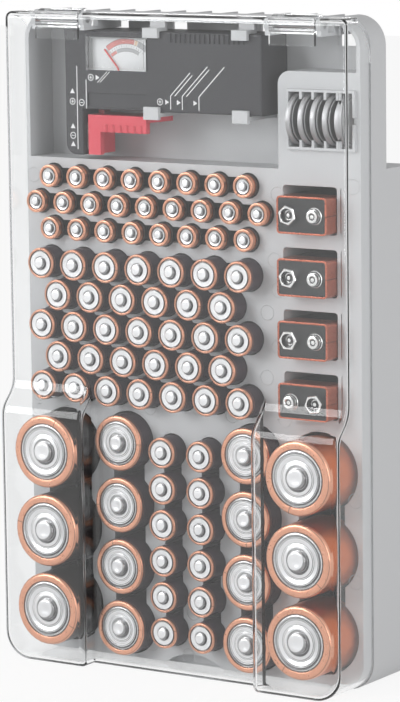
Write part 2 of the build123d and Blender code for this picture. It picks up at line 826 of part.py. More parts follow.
def make_meter_window():
    """Clear cap: a raised border in front, and a skirt that holds the dial on three sides."""
    x0, x1, z0, z1 = meter_box()
    x0, x1, z0, z1 = x0 + lens_gap, x1 - lens_gap, z0 + lens_gap, z1 - lens_gap
    face = front(tester_front + meter_proud)
    cap = block(x0, x1, face, dial_plane(), z0, z1)
    cap -= block(x0 + meter_frame, x1 - meter_frame, face - 1, face + lens_sink,
                 z0 + meter_frame, z1 - meter_frame)
    cap -= block(x0 + lens_skirt, x1 - lens_skirt, face + lens_thickness, dial_plane() + 1,
                 z0 + lens_skirt, z1 - lens_skirt)
    # the needle swings past below the window, behind the tester's front wall
    cap -= block(x0 - 1, x1 + 1, front(tester_front) + tester_wall, dial_plane() + 1,
                 z0 - 1, z0 + lens_skirt + 0.1)
    return cap


def dial_plane():
    return front(tester_front) + tester_wall + dial_depth


def needle_pivot():
    x0, x1, z0, z1 = meter_box()
    return (x0 + x1) / 2 + needle_pivot_right, z0 - needle_pivot_drop


def make_meter_dial():
    """Dial plate that closes the window from behind, with a hole for the needle's shaft."""
    x0, x1, z0, z1 = meter_box()
    y = dial_plane()
    px, pz = needle_pivot()
    dial = block(x0 - dial_margin, x1 + dial_margin, y, y + dial_thickness,
                 pz - dial_foot_margin, z1 + dial_top_margin)
    return dial - rod_y(px, pz, shaft_radius + coil_gap, y - 1, y + dial_thickness + 1)


def make_meter_needle():
    """Needle at rest, half its sweep to the left of upright, on its shaft."""
    px, pz = needle_pivot()
    y1 = dial_plane() - needle_clearance
    y0 = y1 - needle_thickness
    middle = (needle_length - needle_tail) / 2
    needle = Pos(0, (y0 + y1) / 2, middle) * Box(needle_width, needle_thickness,
                                                 needle_length + needle_tail)
    needle = Pos(px, 0, pz) * Rot(0, -needle_sweep / 2, 0) * needle
    needle += rod_y(px, pz, shaft_radius * 1.8, y0, y1)
    needle += rod_y(px, pz, shaft_radius, y0, movement_front() + 0.5)
    return needle


def movement_front():
    return dial_plane() + dial_thickness + coil_gap


def make_needle_coil():
    px, pz = needle_pivot()
    y0 = movement_front() + 0.5
    return rod_y(px, pz, coil_radius, y0, y0 + coil_depth)


def make_meter_movement():
    """Magnet block round the moving coil, carried by the dial plate."""
    x0, x1, z0, z1 = meter_box()
    px, pz = needle_pivot()
    y0 = dial_plane() + dial_thickness
    left = px - movement_width / 2
    foot = tester_under() + tester_wall + tongue_gap + shoe_height + 1.4
    body = block(left, left + movement_width, y0, y0 + movement_depth, foot, foot + movement_height)
    return body - rod_y(px, pz, coil_radius + coil_gap, y0 - 1, movement_front() + coil_depth + 1.2)


def make_resistor_board():
    y0, y1, y2 = tester_planes()
    x1 = -tester_left + tester_length - 12
    back = y2 - tester_wall
    z0 = tester_under() + 5
    board = block(x1 - board_length, x1, back - 3 - board_thickness, back - 3, z0, z0 + board_height)
    for i in range(3):
        x = x1 - board_length * (0.2 + 0.3 * i)
        board += rod_x(back - 3 - board_thickness - 1, z0 + board_height * 0.6, 1.2, x - 3, x + 3)
    for x in (x1 - board_length + 2, x1 - 2):
        board += rod_y(x, z0 + 2.5, 1.5, back - 3.1, back)
    return board


# ---- sliding arm ----
def arm_box():
    x0 = -tester_left + arm_left
    z1 = tester_under() - arm_top_gap
    return x0, x0 + arm_length, z1 - arm_bar_height, z1


def make_sliding_arm():
    """Red L-shaped arm: a prong that meets the cell's end, and a bar with finger grips."""
    x0, x1, z0, z1 = arm_box()
    y0 = front(tester_front)
    y1 = y0 + arm_depth
    arm = block(x0, x1, y0, y0 + arm_plate, z0, z1)
    arm += block(x0, x1, y0, y1, z1 - arm_plate, z1)
    arm += block(x0, x0 + arm_prong_width, y0, y0 + arm_plate, z1 - arm_prong_height, z1)
    arm += block(x0, x0 + arm_plate, y0, y1, z1 - arm_prong_height, z1)
    tip = [(x1 - 0.1, y0), (x1 + 3, y1), (x1 - 0.1, y1)]
    tip_plane = Plane((0, 0, z1 - arm_plate), x_dir=(1, 0, 0), z_dir=(0, 0, 1))
    arm += extrude(tip_plane * make_face(Polyline(tip, close=True)), amount=arm_plate)
    grip_x = x0 + arm_prong_width + 3
    for i in range(grip_count):
        x = grip_x + i * grip_pitch * 0.9
        arm += Pos(x, y0, (z0 + z0 + 3.4) / 2) * Cylinder(grip_radius, 3.4)
    ty0, ty1 = tongue_y()
    arm += block(x0, x0 + tongue_width, ty0, ty1, z1 - 0.1, tester_under() + tester_wall + tongue_gap)
    return arm


def make_guide_shoe():
    """Wider shoe inside the tester that keeps the tongue in its slot."""
    x0 = arm_box()[0]
    ty0, ty1 = tongue_y()
    z0 = tester_under() + tester_wall + tongue_gap
    return block(x0, x0 + tongue_width, ty0 - shoe_flange, ty1 + shoe_flange, z0, z0 + shoe_height)


def make_return_spring():
    """Close-wound spring from the left end wall to the guide shoe; it pulls the arm home."""
    x0 = -tester_left + tester_wall + 0.1
    x1 = arm_box()[0] - 0.1
    y = tester_planes()[1] + tongue_depth / 2
    z = tester_under() + tester_wall + tongue_gap + shoe_height / 2 + 0.4
    length = x1 - x0 - spring_wire
    turn = Helix(pitch=length / spring_turns, height=length, radius=spring_radius)
    section = Plane(turn @ 0, z_dir=turn % 0) * Circle(spring_wire / 2)
    coil = sweep(section, path=turn)
    return Pos(x0 + spring_wire / 2, y, z) * Rot(0, 90, 0) * coil


def make_moving_contact():
    x0, x1, z0, z1 = arm_box()
    y = (front(tester_front) + front(tester_front) + arm_depth) / 2
    foot = z1 - arm_prong_height + contact_foot_gap
    return block(x0 - contact_thickness, x0, y - contact_width / 2, y + contact_width / 2,
                 foot, foot + contact_height)


def make_fixed_contact():
    face = -tester_left + tester_leg_width
    y = (front(tester_front) + front(tester_front) + arm_depth) / 2
    foot = arm_box()[3] - arm_prong_height + contact_foot_gap
    return block(face, face + contact_thickness, y - contact_width / 2, y + contact_width / 2,
                 foot, foot + contact_height)


def make_nine_volt_contacts():
    """Two round contact pads on the tester's left side, for the snaps of a 9 V cell."""
    y0, y1, y2 = tester_planes()
    y = (y0 + y1) / 2
    z = tester_under() + 4
    return [rod_x(y, z + dz, 2.6, -tester_left - 0.8, -tester_left) for dz in (-6.35, 6.35)]


# ---- cells ----
def make_cans(kind, places):
    """Steel cans that reach from the floor of the well to the terminal."""
    radius, hole, proud, depth, nub_radius, nub_height, ring = CELL_KINDS[kind]
    cans = []
    for x, z in places:
        can = rod_y(x, z, radius - jacket - jacket_gap, front(proud) + jacket, behind(depth))
        can += rod_y(x, z, radius * ring - 0.35, front(proud), front(proud) + jacket + 0.1)
        can += rod_y(x, z, nub_radius, front(proud + nub_height), front(proud) + 0.1)
        cans.append(can)
    return cans


def make_jackets(kind, places):
    """Printed jackets: a thin tube that is folded over the shoulder of the can."""
    radius, hole, proud, depth, nub_radius, nub_height, ring = CELL_KINDS[kind]
    jackets = []
    for x, z in places:
        sleeve = rod_y(x, z, radius, front(proud), behind(depth - 0.6))
        sleeve -= rod_y(x, z, radius - jacket, front(proud) + jacket, behind(depth))
        sleeve -= rod_y(x, z, radius * ring - 0.3, front(proud) - 1, front(proud) + 1)
        jackets.append(sleeve)
    return jackets


def nine_volt_centres():
    """Each cell rests on the lower wall of its pocket and against the right-hand side."""
    lean = nine_volt_side_gap * 0.7
    foot = -pocket_height / 2 + nine_volt_foot_gap + nine_volt_height / 2
    return [(x + lean, z + foot) for x, z in pocket_centres()]


def make_nine_volt_jackets():
    jackets = []
    for x, z in nine_volt_centres():
        outer = Pos(x, z) * RectangleRounded(nine_volt_width, nine_volt_height, 1.8)
        inner = Pos(x, z) * RectangleRounded(nine_volt_width - 1.6, nine_volt_height - 1.6, 1.0)
        case = slab(outer, front(nine_volt_proud), behind(nine_volt_depth))
        jackets.append(case - slab(inner, front(nine_volt_proud + 1), front(nine_volt_proud - 1)))
    return jackets


def make_nine_volt_tops():
    tops = []
    for x, z in nine_volt_centres():
        face = Pos(x, z) * RectangleRounded(nine_volt_width - 1.7, nine_volt_height - 1.7, 0.95)
        tops.append(slab(face, front(nine_volt_proud - 0.3), front(nine_volt_proud - 1)))
    return tops


def make_nine_volt_snaps():
    """One round stud and one hexagonal socket on each cell; the lowest cell is turned round."""
    snaps = []
    base = front(nine_volt_proud - 0.3)
    for i, (x, z) in enumerate(nine_volt_centres()):
        turned = -1 if i == nine_volt_count - 1 else 1
        stud_x = x + turned * 6.35
        socket_x = x - turned * 6.35
        stud = rod_y(stud_x, z, 3.9, base - 0.7, base)
        stud += rod_y(stud_x, z, 2.85, base - 2.4, base)
        socket = slab(Pos(socket_x, z) * RegularPolygon(4.6, 6), base - 2.4, base)
        socket -= rod_y(socket_x, z, 2.9, base - 3, base - 0.6)
        snaps += [stud, socket]
    return snaps


def coin_places():
    left = rack_slots()[0]
    return [left + (i + 0.5) * coin_slot_pitch for i in range(coin_slot_count)]


def make_coin_cans():
    y, z = coin_axis()
    return [rod_x(y, z, coin_radius, x - coin_thickness / 2, x + coin_thickness * 0.3)
            for x in coin_places()]


def make_coin_caps():
    y, z = coin_axis()
    return [rod_x(y, z, coin_radius - 1.1, x + coin_thickness * 0.3, x + coin_thickness / 2)
            for x in coin_places()]


# ---- write one file for each node ----
def save(name, shape):
    solids = shape if isinstance(shape, list) else [shape]
    parts = [solid for item in solids for solid in item.solids()]
    export_step(Compound(children=parts), f"parts/{name}.step")


def main():
    os.makedirs("parts", exist_ok=True)
    moulding = make_moulding()
    save("tray", make_tray(moulding))
    save("top_bay", make_top_bay(moulding))
    save("cover", make_cover())
    save("hinge_pin_left", make_hinge_pin(-1))
    save("hinge_pin_right", make_hinge_pin(1))
    save("tester_front_shell", make_front_shell())
    save("tester_rear_shell", make_rear_shell())
    save("tester_screws", make_tester_screws())
    save("meter_window", make_meter_window())
    save("meter_dial", make_meter_dial())
    save("meter_movement", make_meter_movement())
    save("meter_needle", make_meter_needle())
    save("needle_coil", make_needle_coil())
    save("resistor_board", make_resistor_board())
    save("sliding_arm", make_sliding_arm())
    save("guide_shoe", make_guide_shoe())
    save("return_spring", make_return_spring())
    save("moving_contact", make_moving_contact())
    save("fixed_contact", make_fixed_contact())
    save("nine_volt_contacts", make_nine_volt_contacts())
    for name, (kind, places) in CELL_GROUPS.items():
        save(f"{name}_cans", make_cans(kind, places))
        save(f"{name}_jackets", make_jackets(kind, places))
    save("nine_volt_jackets", make_nine_volt_jackets())
    save("nine_volt_tops", make_nine_volt_tops())
    save("nine_volt_snaps", make_nine_volt_snaps())
    save("coin_cell_cans", make_coin_cans())
    save("coin_cell_caps", make_coin_caps())


if __name__ == "__main__":
    main()
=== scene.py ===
"""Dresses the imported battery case: finishes for the moulded parts, detailed cells, snaps and print."""

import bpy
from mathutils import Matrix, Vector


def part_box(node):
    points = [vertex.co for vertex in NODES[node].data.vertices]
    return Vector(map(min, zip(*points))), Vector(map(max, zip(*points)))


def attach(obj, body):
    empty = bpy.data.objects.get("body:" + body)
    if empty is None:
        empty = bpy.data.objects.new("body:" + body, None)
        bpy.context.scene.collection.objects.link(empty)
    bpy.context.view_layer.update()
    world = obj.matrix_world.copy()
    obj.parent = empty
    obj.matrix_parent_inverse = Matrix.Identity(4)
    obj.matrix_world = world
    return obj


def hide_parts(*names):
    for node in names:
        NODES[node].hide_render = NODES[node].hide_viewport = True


bl_info = {
    "name": "Battery storage case",
    "version": (1, 0, 0),
    "blender": (4, 5, 0),
    "location": "View3D > Sidebar > Battery case",
    "description": "Finishes and detail pieces for a battery storage case, and the stage it stands on",
    "category": "Object",
}

from math import atan2, cos, hypot, pi, radians, sin

import bpy
import numpy as np
from bpy.props import FloatProperty, FloatVectorProperty, IntProperty, PointerProperty
from mathutils import Matrix, Vector

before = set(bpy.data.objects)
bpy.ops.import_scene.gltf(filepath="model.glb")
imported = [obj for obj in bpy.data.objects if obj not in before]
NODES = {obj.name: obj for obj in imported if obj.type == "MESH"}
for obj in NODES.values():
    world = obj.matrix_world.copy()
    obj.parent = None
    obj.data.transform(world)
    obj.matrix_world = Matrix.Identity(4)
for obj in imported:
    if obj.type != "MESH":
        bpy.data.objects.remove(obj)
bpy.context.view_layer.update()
MM = 0.001


def lows(node):
    """Lowest corner of a CAD node in millimetres."""
    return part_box(node)[0] / MM


def highs(node):
    """Highest corner of a CAD node in millimetres."""
    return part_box(node)[1] / MM


# ---------------------------------------------------------------- shader sums


class Wire:
    """A socket that takes part in sums. Numbers and other wires join it through Math nodes."""

    def __init__(self, finish, socket):
        self.finish = finish
        self.socket = socket

    def sum(self, operation, *values):
        node = self.finish.node("ShaderNodeMath", {"operation": operation}, *values)
        return Wire(self.finish, node.outputs[0])

    def __add__(self, other):
        return self.sum("ADD", self, other)

    __radd__ = __add__

    def __sub__(self, other):
        return self.sum("SUBTRACT", self, other)

    def __rsub__(self, other):
        return self.sum("SUBTRACT", other, self)

    def __mul__(self, other):
        return self.sum("MULTIPLY", self, other)

    __rmul__ = __mul__

    def __truediv__(self, other):
        return self.sum("DIVIDE", self, other)

    def __pow__(self, other):
        return self.sum("POWER", self, other)

    def __lt__(self, other):
        return self.sum("LESS_THAN", self, other)

    def __gt__(self, other):
        return self.sum("GREATER_THAN", self, other)

    def __abs__(self):
        return self.sum("ABSOLUTE", self)

    def within(self, low, high):
        """1 between two values, 0 elsewhere."""
        return (self > low) * (self < high)

    def ramp(self, start, end):
        """Rises smoothly from 0 at start to 1 at end."""
        node = self.finish.node("ShaderNodeMapRange", {"interpolation_type": "SMOOTHSTEP"},
                                self, start, end, 0.0, 1.0)
        return Wire(self.finish, node.outputs[0])


class Finish:
    """A material that is built from wires."""

    def __init__(self, name):
        self.material = bpy.data.materials.new(name)
        self.material.use_nodes = True
        self.tree = self.material.node_tree
        self.tree.nodes.clear()

    def feed(self, socket, value):
        if isinstance(value, Wire):
            self.tree.links.new(value.socket, socket)
        elif isinstance(value, (tuple, list)) and len(value) == 3 and socket.type == "RGBA":
            socket.default_value = (*value, 1.0)
        else:
            socket.default_value = value

    def node(self, kind, settings=None, *values, **named):
        """Adds a node, sets what it does, then feeds its sockets with numbers or wires."""
        node = self.tree.nodes.new(kind)
        for key, value in (settings or {}).items():
            setattr(node, key, value)
        for socket, value in zip(node.inputs, values):
            self.feed(socket, value)
        for key, value in named.items():
            self.feed(node.inputs[key.replace("_", " ")], value)
        return node

    def wire(self, kind, settings=None, *values, out=0, **named):
        return Wire(self, self.node(kind, settings, *values, **named).outputs[out])

    def place(self):
        """Object coordinates in millimetres."""
        source = self.wire("ShaderNodeTexCoord", out="Object")
        return self.wire("ShaderNodeVectorMath", {"operation": "SCALE"}, source, Scale=1 / MM)

    def parts(self, vector):
        """The three numbers of a vector."""
        node = self.node("ShaderNodeSeparateXYZ", None, vector)
        return tuple(Wire(self, socket) for socket in node.outputs)

    def layer(self, name):
        """A UV map's two numbers."""
        return self.parts(self.wire("ShaderNodeUVMap", {"uv_map": name}))[:2]

    def polar(self):
        """Place on a round piece: across, up, and distance from its own axis, in millimetres."""
        u, v = self.layer("face")
        return u, v, (u * u + v * v) ** 0.5

    def noise(self, vector, scale, detail=2.0, roughness=0.5):
        return self.wire("ShaderNodeTexNoise", None, vector, Scale=scale, Detail=detail,
                         Roughness=roughness)

    def stretch(self, vector, x, y, z):
        return self.wire("ShaderNodeVectorMath", {"operation": "MULTIPLY"}, vector, (x, y, z))

    def blend(self, mask, first, second):
        """One colour where the mask is 0, the other where it is 1."""
        node = self.tree.nodes.new("ShaderNodeMix")
        node.data_type = "RGBA"
        self.feed(node.inputs[0], mask)
        self.feed(node.inputs[6], first)
        self.feed(node.inputs[7], second)
        return Wire(self, node.outputs[2])

    def blend_normals(self, mask, first, second):
        node = self.tree.nodes.new("ShaderNodeMix")
        node.data_type = "VECTOR"
        self.feed(node.inputs[0], mask)
        self.feed(node.inputs[4], first)
        self.feed(node.inputs[5], second)
        return Wire(self, node.outputs[1])

    def bump(self, height, distance, normal=None):
        """Normal for a relief given in millimetres."""
        named = {"Strength": 1.0, "Distance": distance * MM, "Height": height}
        if normal is not None:
            named["Normal"] = normal
        return self.wire("ShaderNodeBump", None, **named)

    def soft_edges(self, radius, samples=4):
        """Normal that rounds every sharp edge by a radius in millimetres."""
        return self.wire("ShaderNodeBevel", {"samples": samples}, radius * MM)

    def surface(self, colour, roughness, normal=None, **constants):
        """Principled surface; constants are the sockets that are the same all over."""
        node = self.node("ShaderNodeBsdfPrincipled", None, Base_Color=colour, Roughness=roughness,
                         **constants)
        if normal is not None:
            self.feed(node.inputs["Normal"], normal)
        return Wire(self, node.outputs[0])

    def done(self, shader):
        self.node("ShaderNodeOutputMaterial", None, shader)
        return self.material


class Surround(Finish):
    """The light from all round, built from wires too."""

    def __init__(self, name):
        self.world = bpy.data.worlds.new(name)
        self.world.use_nodes = True
        self.tree = self.world.node_tree
        self.tree.nodes.clear()

    def done(self, shader):
        self.node("ShaderNodeOutputWorld", None, shader)
        return self.world


# ---------------------------------------------------------------- settings


class CaseColours(bpy.types.PropertyGroup):
    """Colours of the moulded parts and of the print."""

    tray: FloatVectorProperty(name="Tray", description="Colour of the moulded tray",
                              subtype="COLOR", size=3, default=(0.50, 0.505, 0.515), min=0, max=1)
    tester: FloatVectorProperty(name="Tester", description="Colour of the tester's shells",
                                subtype="COLOR", size=3, default=(0.042, 0.042, 0.046), min=0, max=1)
    arm: FloatVectorProperty(name="Sliding arm", description="Colour of the tester's sliding arm",
                             subtype="COLOR", size=3, default=(0.60, 0.060, 0.085), min=0, max=1)
    copper: FloatVectorProperty(name="Copper print", description="Metallic print on the cells",
                                subtype="COLOR", size=3, default=(0.70, 0.335, 0.215), min=0, max=1)
    orange: FloatVectorProperty(name="Orange print", description="Print on the right D cells",
                                subtype="COLOR", size=3, default=(0.60, 0.15, 0.045), min=0, max=1)
    # The dark print colour also paints the shade of the nine volt cells' pockets.
    sleeve: FloatVectorProperty(name="Dark print", description="Dark print on the D and AAA cells",
                                subtype="COLOR", size=3, default=(0.006, 0.004, 0.004), min=0, max=1)
    violet: FloatVectorProperty(name="Violet print", description="Dark print on the C and AA cells",
                                subtype="COLOR", size=3, default=(0.034, 0.020, 0.030), min=0, max=1)
    nickel: FloatVectorProperty(name="Nickel", description="Plating of terminals and cans",
                                subtype="COLOR", size=3, default=(0.84, 0.84, 0.85), min=0, max=1)


class CellSizes(bpy.types.PropertyGroup):
    """Detail of the round cells."""

    segments: IntProperty(name="Segments", description="Facets round each cell", default=32,
                          min=16, max=64)
    shoulder: FloatProperty(name="Shoulder", description="Radius of a wrap's shoulder, as a share "
                            "of the cell's radius", default=0.075, min=0.02, max=0.2)
    wrap: FloatProperty(name="Wrap", description="Thickness of a wrap in millimetres",
                        default=0.25, min=0.1, max=0.6)


class StageSettings(bpy.types.PropertyGroup):
    """Light and camera."""

    lens: FloatProperty(name="Lens", description="Focal length for a 36 mm wide sensor",
                        subtype="DISTANCE_CAMERA", default=182.12, min=10, max=400)
    yaw: FloatProperty(name="Yaw", description="Turn of the camera", default=radians(-33.41),
                       subtype="ANGLE", unit="ROTATION")
    pitch: FloatProperty(name="Pitch", description="Tilt of the camera", default=radians(8.616),
                         subtype="ANGLE", unit="ROTATION")
    roll: FloatProperty(name="Roll", description="Roll of the camera", default=radians(-0.723),
                        subtype="ANGLE", unit="ROTATION")
    eye: FloatVectorProperty(name="Eye", description="Place of the camera", size=3,
                             subtype="TRANSLATION", unit="LENGTH",
                             default=(0.86895, -1.31968, 0.38503))
    key: FloatProperty(name="Key light", description="Power of the large light", default=18.0,
                       min=0, subtype="POWER")
    ambient: FloatProperty(name="Ambient", description="Strength of the light from all round",
                           default=0.48, min=0, max=2)
    mirrored: FloatProperty(name="Mirrored", description="Share of white that metal reflects",
                            default=0.46, min=0, max=1)


class BatteryCase(bpy.types.PropertyGroup):
    """All settings of the case."""

    colours: PointerProperty(type=CaseColours)
    cells: PointerProperty(type=CellSizes)
    stage: PointerProperty(type=StageSettings)


# ---------------------------------------------------------------- modelling by hand


def deselect():
    if bpy.context.mode != "OBJECT":
        bpy.ops.object.mode_set(mode="OBJECT")
    bpy.ops.object.select_all(action="DESELECT")


def only(obj):
    deselect()
    obj.select_set(True)
    bpy.context.view_layer.objects.active = obj


def join(name, objs):
    """Joins pieces into one, with its place in its mesh."""
    deselect()
    for obj in objs:
        obj.select_set(True)
    bpy.context.view_layer.objects.active = objs[0]
    if len(objs) > 1:
        bpy.ops.object.join()
    made = bpy.context.active_object
    bpy.ops.object.transform_apply(location=True, rotation=True, scale=True)
    made.name = name
    made.data.name = name
    return made


def smooth(obj, angle=32):
    only(obj)
    bpy.ops.object.shade_smooth_by_angle(angle=radians(angle))


def tidy_normals(obj):
    """Merges doubles and turns every face outwards."""
    only(obj)
    bpy.ops.object.mode_set(mode="EDIT")
    bpy.ops.mesh.select_all(action="SELECT")
    bpy.ops.mesh.remove_doubles(threshold=1e-6)
    bpy.ops.mesh.normals_make_consistent(inside=False)
    bpy.ops.object.mode_set(mode="OBJECT")


def turn(name, rings, segments, closed):
    """Turns a piece about Z from rings of (radius, height) in millimetres.

    A closed piece is solid, with a face on its first and last ring. Otherwise the last ring meets
    the first, as in a tube with thick walls."""
    deselect()
    radius, height = rings[0]
    bpy.ops.mesh.primitive_circle_add(vertices=segments, radius=radius * MM,
                                      location=(0, 0, height * MM),
                                      fill_type="NGON" if closed else "NOTHING")
    made = bpy.context.active_object
    bpy.ops.object.transform_apply(location=True, rotation=True, scale=True)
    bpy.ops.object.mode_set(mode="EDIT")
    bpy.ops.mesh.select_all(action="SELECT")
    for new_radius, new_height in rings[1:]:
        rise = (new_height - height) * MM
        bpy.ops.mesh.extrude_region_move(TRANSFORM_OT_translate={"value": (0, 0, rise)})
        share = new_radius / radius
        bpy.ops.transform.resize(value=(share, share, 1), center_override=(0, 0, new_height * MM))
        radius, height = new_radius, new_height
    bpy.ops.object.mode_set(mode="OBJECT")
    tidy_normals(made)
    made.name = name
    return made


def face_map(obj, name="face"):
    """UV map that holds each corner's distance from the piece's own axis, in millimetres."""
    mesh = obj.data
    for layer in list(mesh.uv_layers):
        mesh.uv_layers.remove(layer)
    layer = mesh.uv_layers.new(name=name)
    corner = np.zeros(len(mesh.loops), np.int32)
    mesh.loops.foreach_get("vertex_index", corner)
    points = np.zeros(len(mesh.vertices) * 3, np.float32)
    mesh.vertices.foreach_get("co", points)
    layer.data.foreach_set("uv", (points.reshape(-1, 3)[corner][:, :2] / MM).ravel())
    mesh.uv_layers.new(name="lot")


def copies(master, name, matrices, lots):
    """Copies of a piece, each with its own mesh, joined into one object."""
    made = []
    for matrix, lot in zip(matrices, lots):
        only(master)
        bpy.ops.object.duplicate(linked=False)
        copy = bpy.context.active_object
        copy.matrix_world = matrix
        layer = copy.data.uv_layers.get("lot")
        if layer is not None:
            layer.data.foreach_set("uv", np.tile(np.array(lot, np.float32), len(copy.data.loops)))
        made.append(copy)
    return join(name, made)


def outwards(x, y, z, spin):
    """Puts a piece that was turned about Z on the front of the case, facing the viewer."""
    return (Matrix.Translation(Vector((x, y, z)) * MM) @ Matrix.Rotation(pi / 2, 4, "X")
            @ Matrix.Rotation(spin, 4, "Z"))


def dress(obj, material):
    obj.data.materials.clear()
    obj.data.materials.append(material)


def dress_node(name, material):
    """Gives a CAD node a finish; its shape stays."""
    dress(NODES[name], material)


def finish_piece(obj, body, slot, material, *nodes):
    """Everything that a new piece needs: its body, its finish and what it replaces. The slot argument is
    not used.
    """
    dress(obj, material)
    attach(obj, body)
    if nodes:
        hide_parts(*nodes)


def scatter(seed, count):
    """Repeatable random numbers between 0 and 1."""
    return np.random.RandomState(seed).rand(count)


# ---------------------------------------------------------------- finishes


def moulded_finish(name, colour, roughness, grain=0.012, edge=0.35, fleck=0.05, joint=None,
                    shine=0.5):
    """Satin moulded plastic with a fine spark-eroded grain and soft edges.

    A moulding held as two nodes has a joint at one height, where no edge is softened."""
    f = Finish(name)
    place = f.place()
    z = f.parts(place)[2]
    fine = f.noise(place, 3.2, 3.0, 0.6)
    broad = f.noise(place, 0.035, 2.0)
    shade = (fine - 0.5) * fleck + (broad - 0.5) * fleck * 1.6
    deep = tuple(c * 0.80 for c in colour)
    pale = tuple(min(1.0, c * 1.12) for c in colour)
    tint = f.blend((shade + 0.5).ramp(0.3, 0.7), deep, pale)
    tint = f.blend(0.35, colour, tint)
    soft = f.soft_edges(edge)
    if joint is not None:
        plain = f.wire("ShaderNodeNewGeometry", out="Normal")
        soft = f.blend_normals(abs(z - joint).ramp(edge * 1.2, edge * 2.0), plain, soft)
    normal = f.bump(fine, grain, soft)
    return f.done(f.surface(tint, roughness + (broad - 0.5) * 0.12, normal,
                            Specular_IOR_Level=shine))


def clear_finish(name, roughness, tint=(0.975, 0.98, 0.982)):
    """Clear plastic that lets lamps through, with faint moulding waves."""
    f = Finish(name)
    place = f.place()
    waves = f.noise(place, 0.02, 1.0)
    rough = roughness + (f.noise(place, 0.5, 3.0) - 0.5).ramp(0.05, 0.4) * 0.03
    normal = f.bump(waves, 0.05)
    glass = f.surface(tint, rough, normal, Transmission_Weight=1.0, IOR=1.49,
                      Specular_IOR_Level=0.25)
    pass_on = f.wire("ShaderNodeBsdfTransparent", None, tint)
    rays = f.node("ShaderNodeLightPath")
    lamp = Wire(f, rays.outputs["Is Shadow Ray"]) + Wire(f, rays.outputs["Is Diffuse Ray"])
    return f.done(f.wire("ShaderNodeMixShader", None, lamp, glass, pass_on))


def wrap_finish(kind, colours, sleeve, front, radius, ring, band, lines):
    """Printed wrap of a round cell: copper lip and band, dark body, a seam across the lip, and painted
    shade lines where the lip is crimped.
    """
    f = Finish(f"{kind}_wrap")
    place = f.place()
    y = f.parts(place)[1]
    u, v, r = f.polar()
    lot = f.layer("lot")[0]
    depth = y - front
    angle = f.wire("ShaderNodeMath", {"operation": "ARCTAN2"}, v, u)
    seam = (abs(angle + 1.2) * r).ramp(0.22, 0.10) * (depth < band * 0.6)
    brushed = f.noise(f.stretch(place, 0.4, 6.0, 0.4), 2.0, 2.0)
    copper = tuple(colours.copper)
    pale = tuple(min(1.0, c * 1.06 + 0.02) for c in copper)
    deep = tuple(c * 0.90 for c in copper)
    metal = f.blend(brushed, deep, pale)
    metal = f.blend(lot * 0.35, metal, pale)
    # Painted shade: dark lines where the lip is crimped, at its inner end and at the given shares of the
    # radius.
    edge = abs(r - radius * ring).ramp(0.44, 0.20) * (depth < 0.5)
    for share in lines:
        edge = edge + abs(r - radius * share).ramp(0.16, 0.05) * (depth < 0.5) * 0.8
    dark = depth.ramp(band, band + 0.25)
    stripe = depth.within(band + 1.0, band + 1.25)
    body = f.blend(stripe * 0.5, sleeve, copper)
    side = depth.ramp(1.6, 2.2)
    metal = f.blend(side, metal, f.blend(brushed, tuple(c * 0.7 for c in colours.orange),
                                         tuple(colours.orange)))
    colour = f.blend(dark, metal, body)
    # The painted crimp shade and the dark seam darken the colour and make it less metallic.
    crimp_shade_and_seam = (edge + seam).sum("MINIMUM", edge + seam, 1.0)
    colour = f.blend(crimp_shade_and_seam * 0.82, colour, (0.05, 0.025, 0.02))
    gloss = 0.24 + brushed * 0.10 + dark * 0.06
    node = f.node("ShaderNodeBsdfPrincipled", None, Base_Color=colour, Roughness=gloss,
                  Metallic=(1 - dark) * (1 - crimp_shade_and_seam * 0.7) * 0.92, Specular_IOR_Level=0.2)
    relief = brushed * 0.15 - edge - seam
    f.feed(node.inputs["Normal"], f.bump(relief, 0.05))
    return f.done(Wire(f, node.outputs[0]))


def can_finish(kind, tone, grooves, nub=0.0, rough=0.26):
    """Plated end plate: even silver, painted shade lines in the press grooves at the given radii, darker
    towards the lower right, and a painted shadow crescent on the terminal.
    """
    f = Finish(f"{kind}_end_plate")
    place = f.place()
    u, v, r = f.polar()
    lot = f.layer("lot")[0]
    lay = f.noise(place, 5.0, 2.0)
    metal = f.blend(lay * 0.25 + lot * 0.5, tuple(c * 0.92 for c in tone), tone)
    # Painted shade: dark lines in the press grooves, darker towards the lower right.
    lower_right = (u - v) / (r * 1.42 + 0.01)
    lines = r * 0.0
    for radius, width in grooves:
        line = abs(r - radius).ramp(width, width * 0.45) * (lower_right * 0.22 + 0.78)
        lines = lines.sum("MAXIMUM", lines, line)
    # Painted shadow: a dark crescent on the lower right of the terminal.
    if nub:
        shifted = ((u + nub * 0.2) * (u + nub * 0.2) + (v - nub * 0.2) * (v - nub * 0.2)) ** 0.5
        nub_shadow = (r < nub) * shifted.ramp(nub * 0.92, nub * 1.05)
        lines = lines.sum("MAXIMUM", lines, nub_shadow * 0.75)
    colour = f.blend(lines * 0.9, metal, (0.035, 0.035, 0.038))
    return f.done(f.surface(colour, rough + lay * 0.06, f.bump(0 - lines, 0.04), Metallic=1.0))


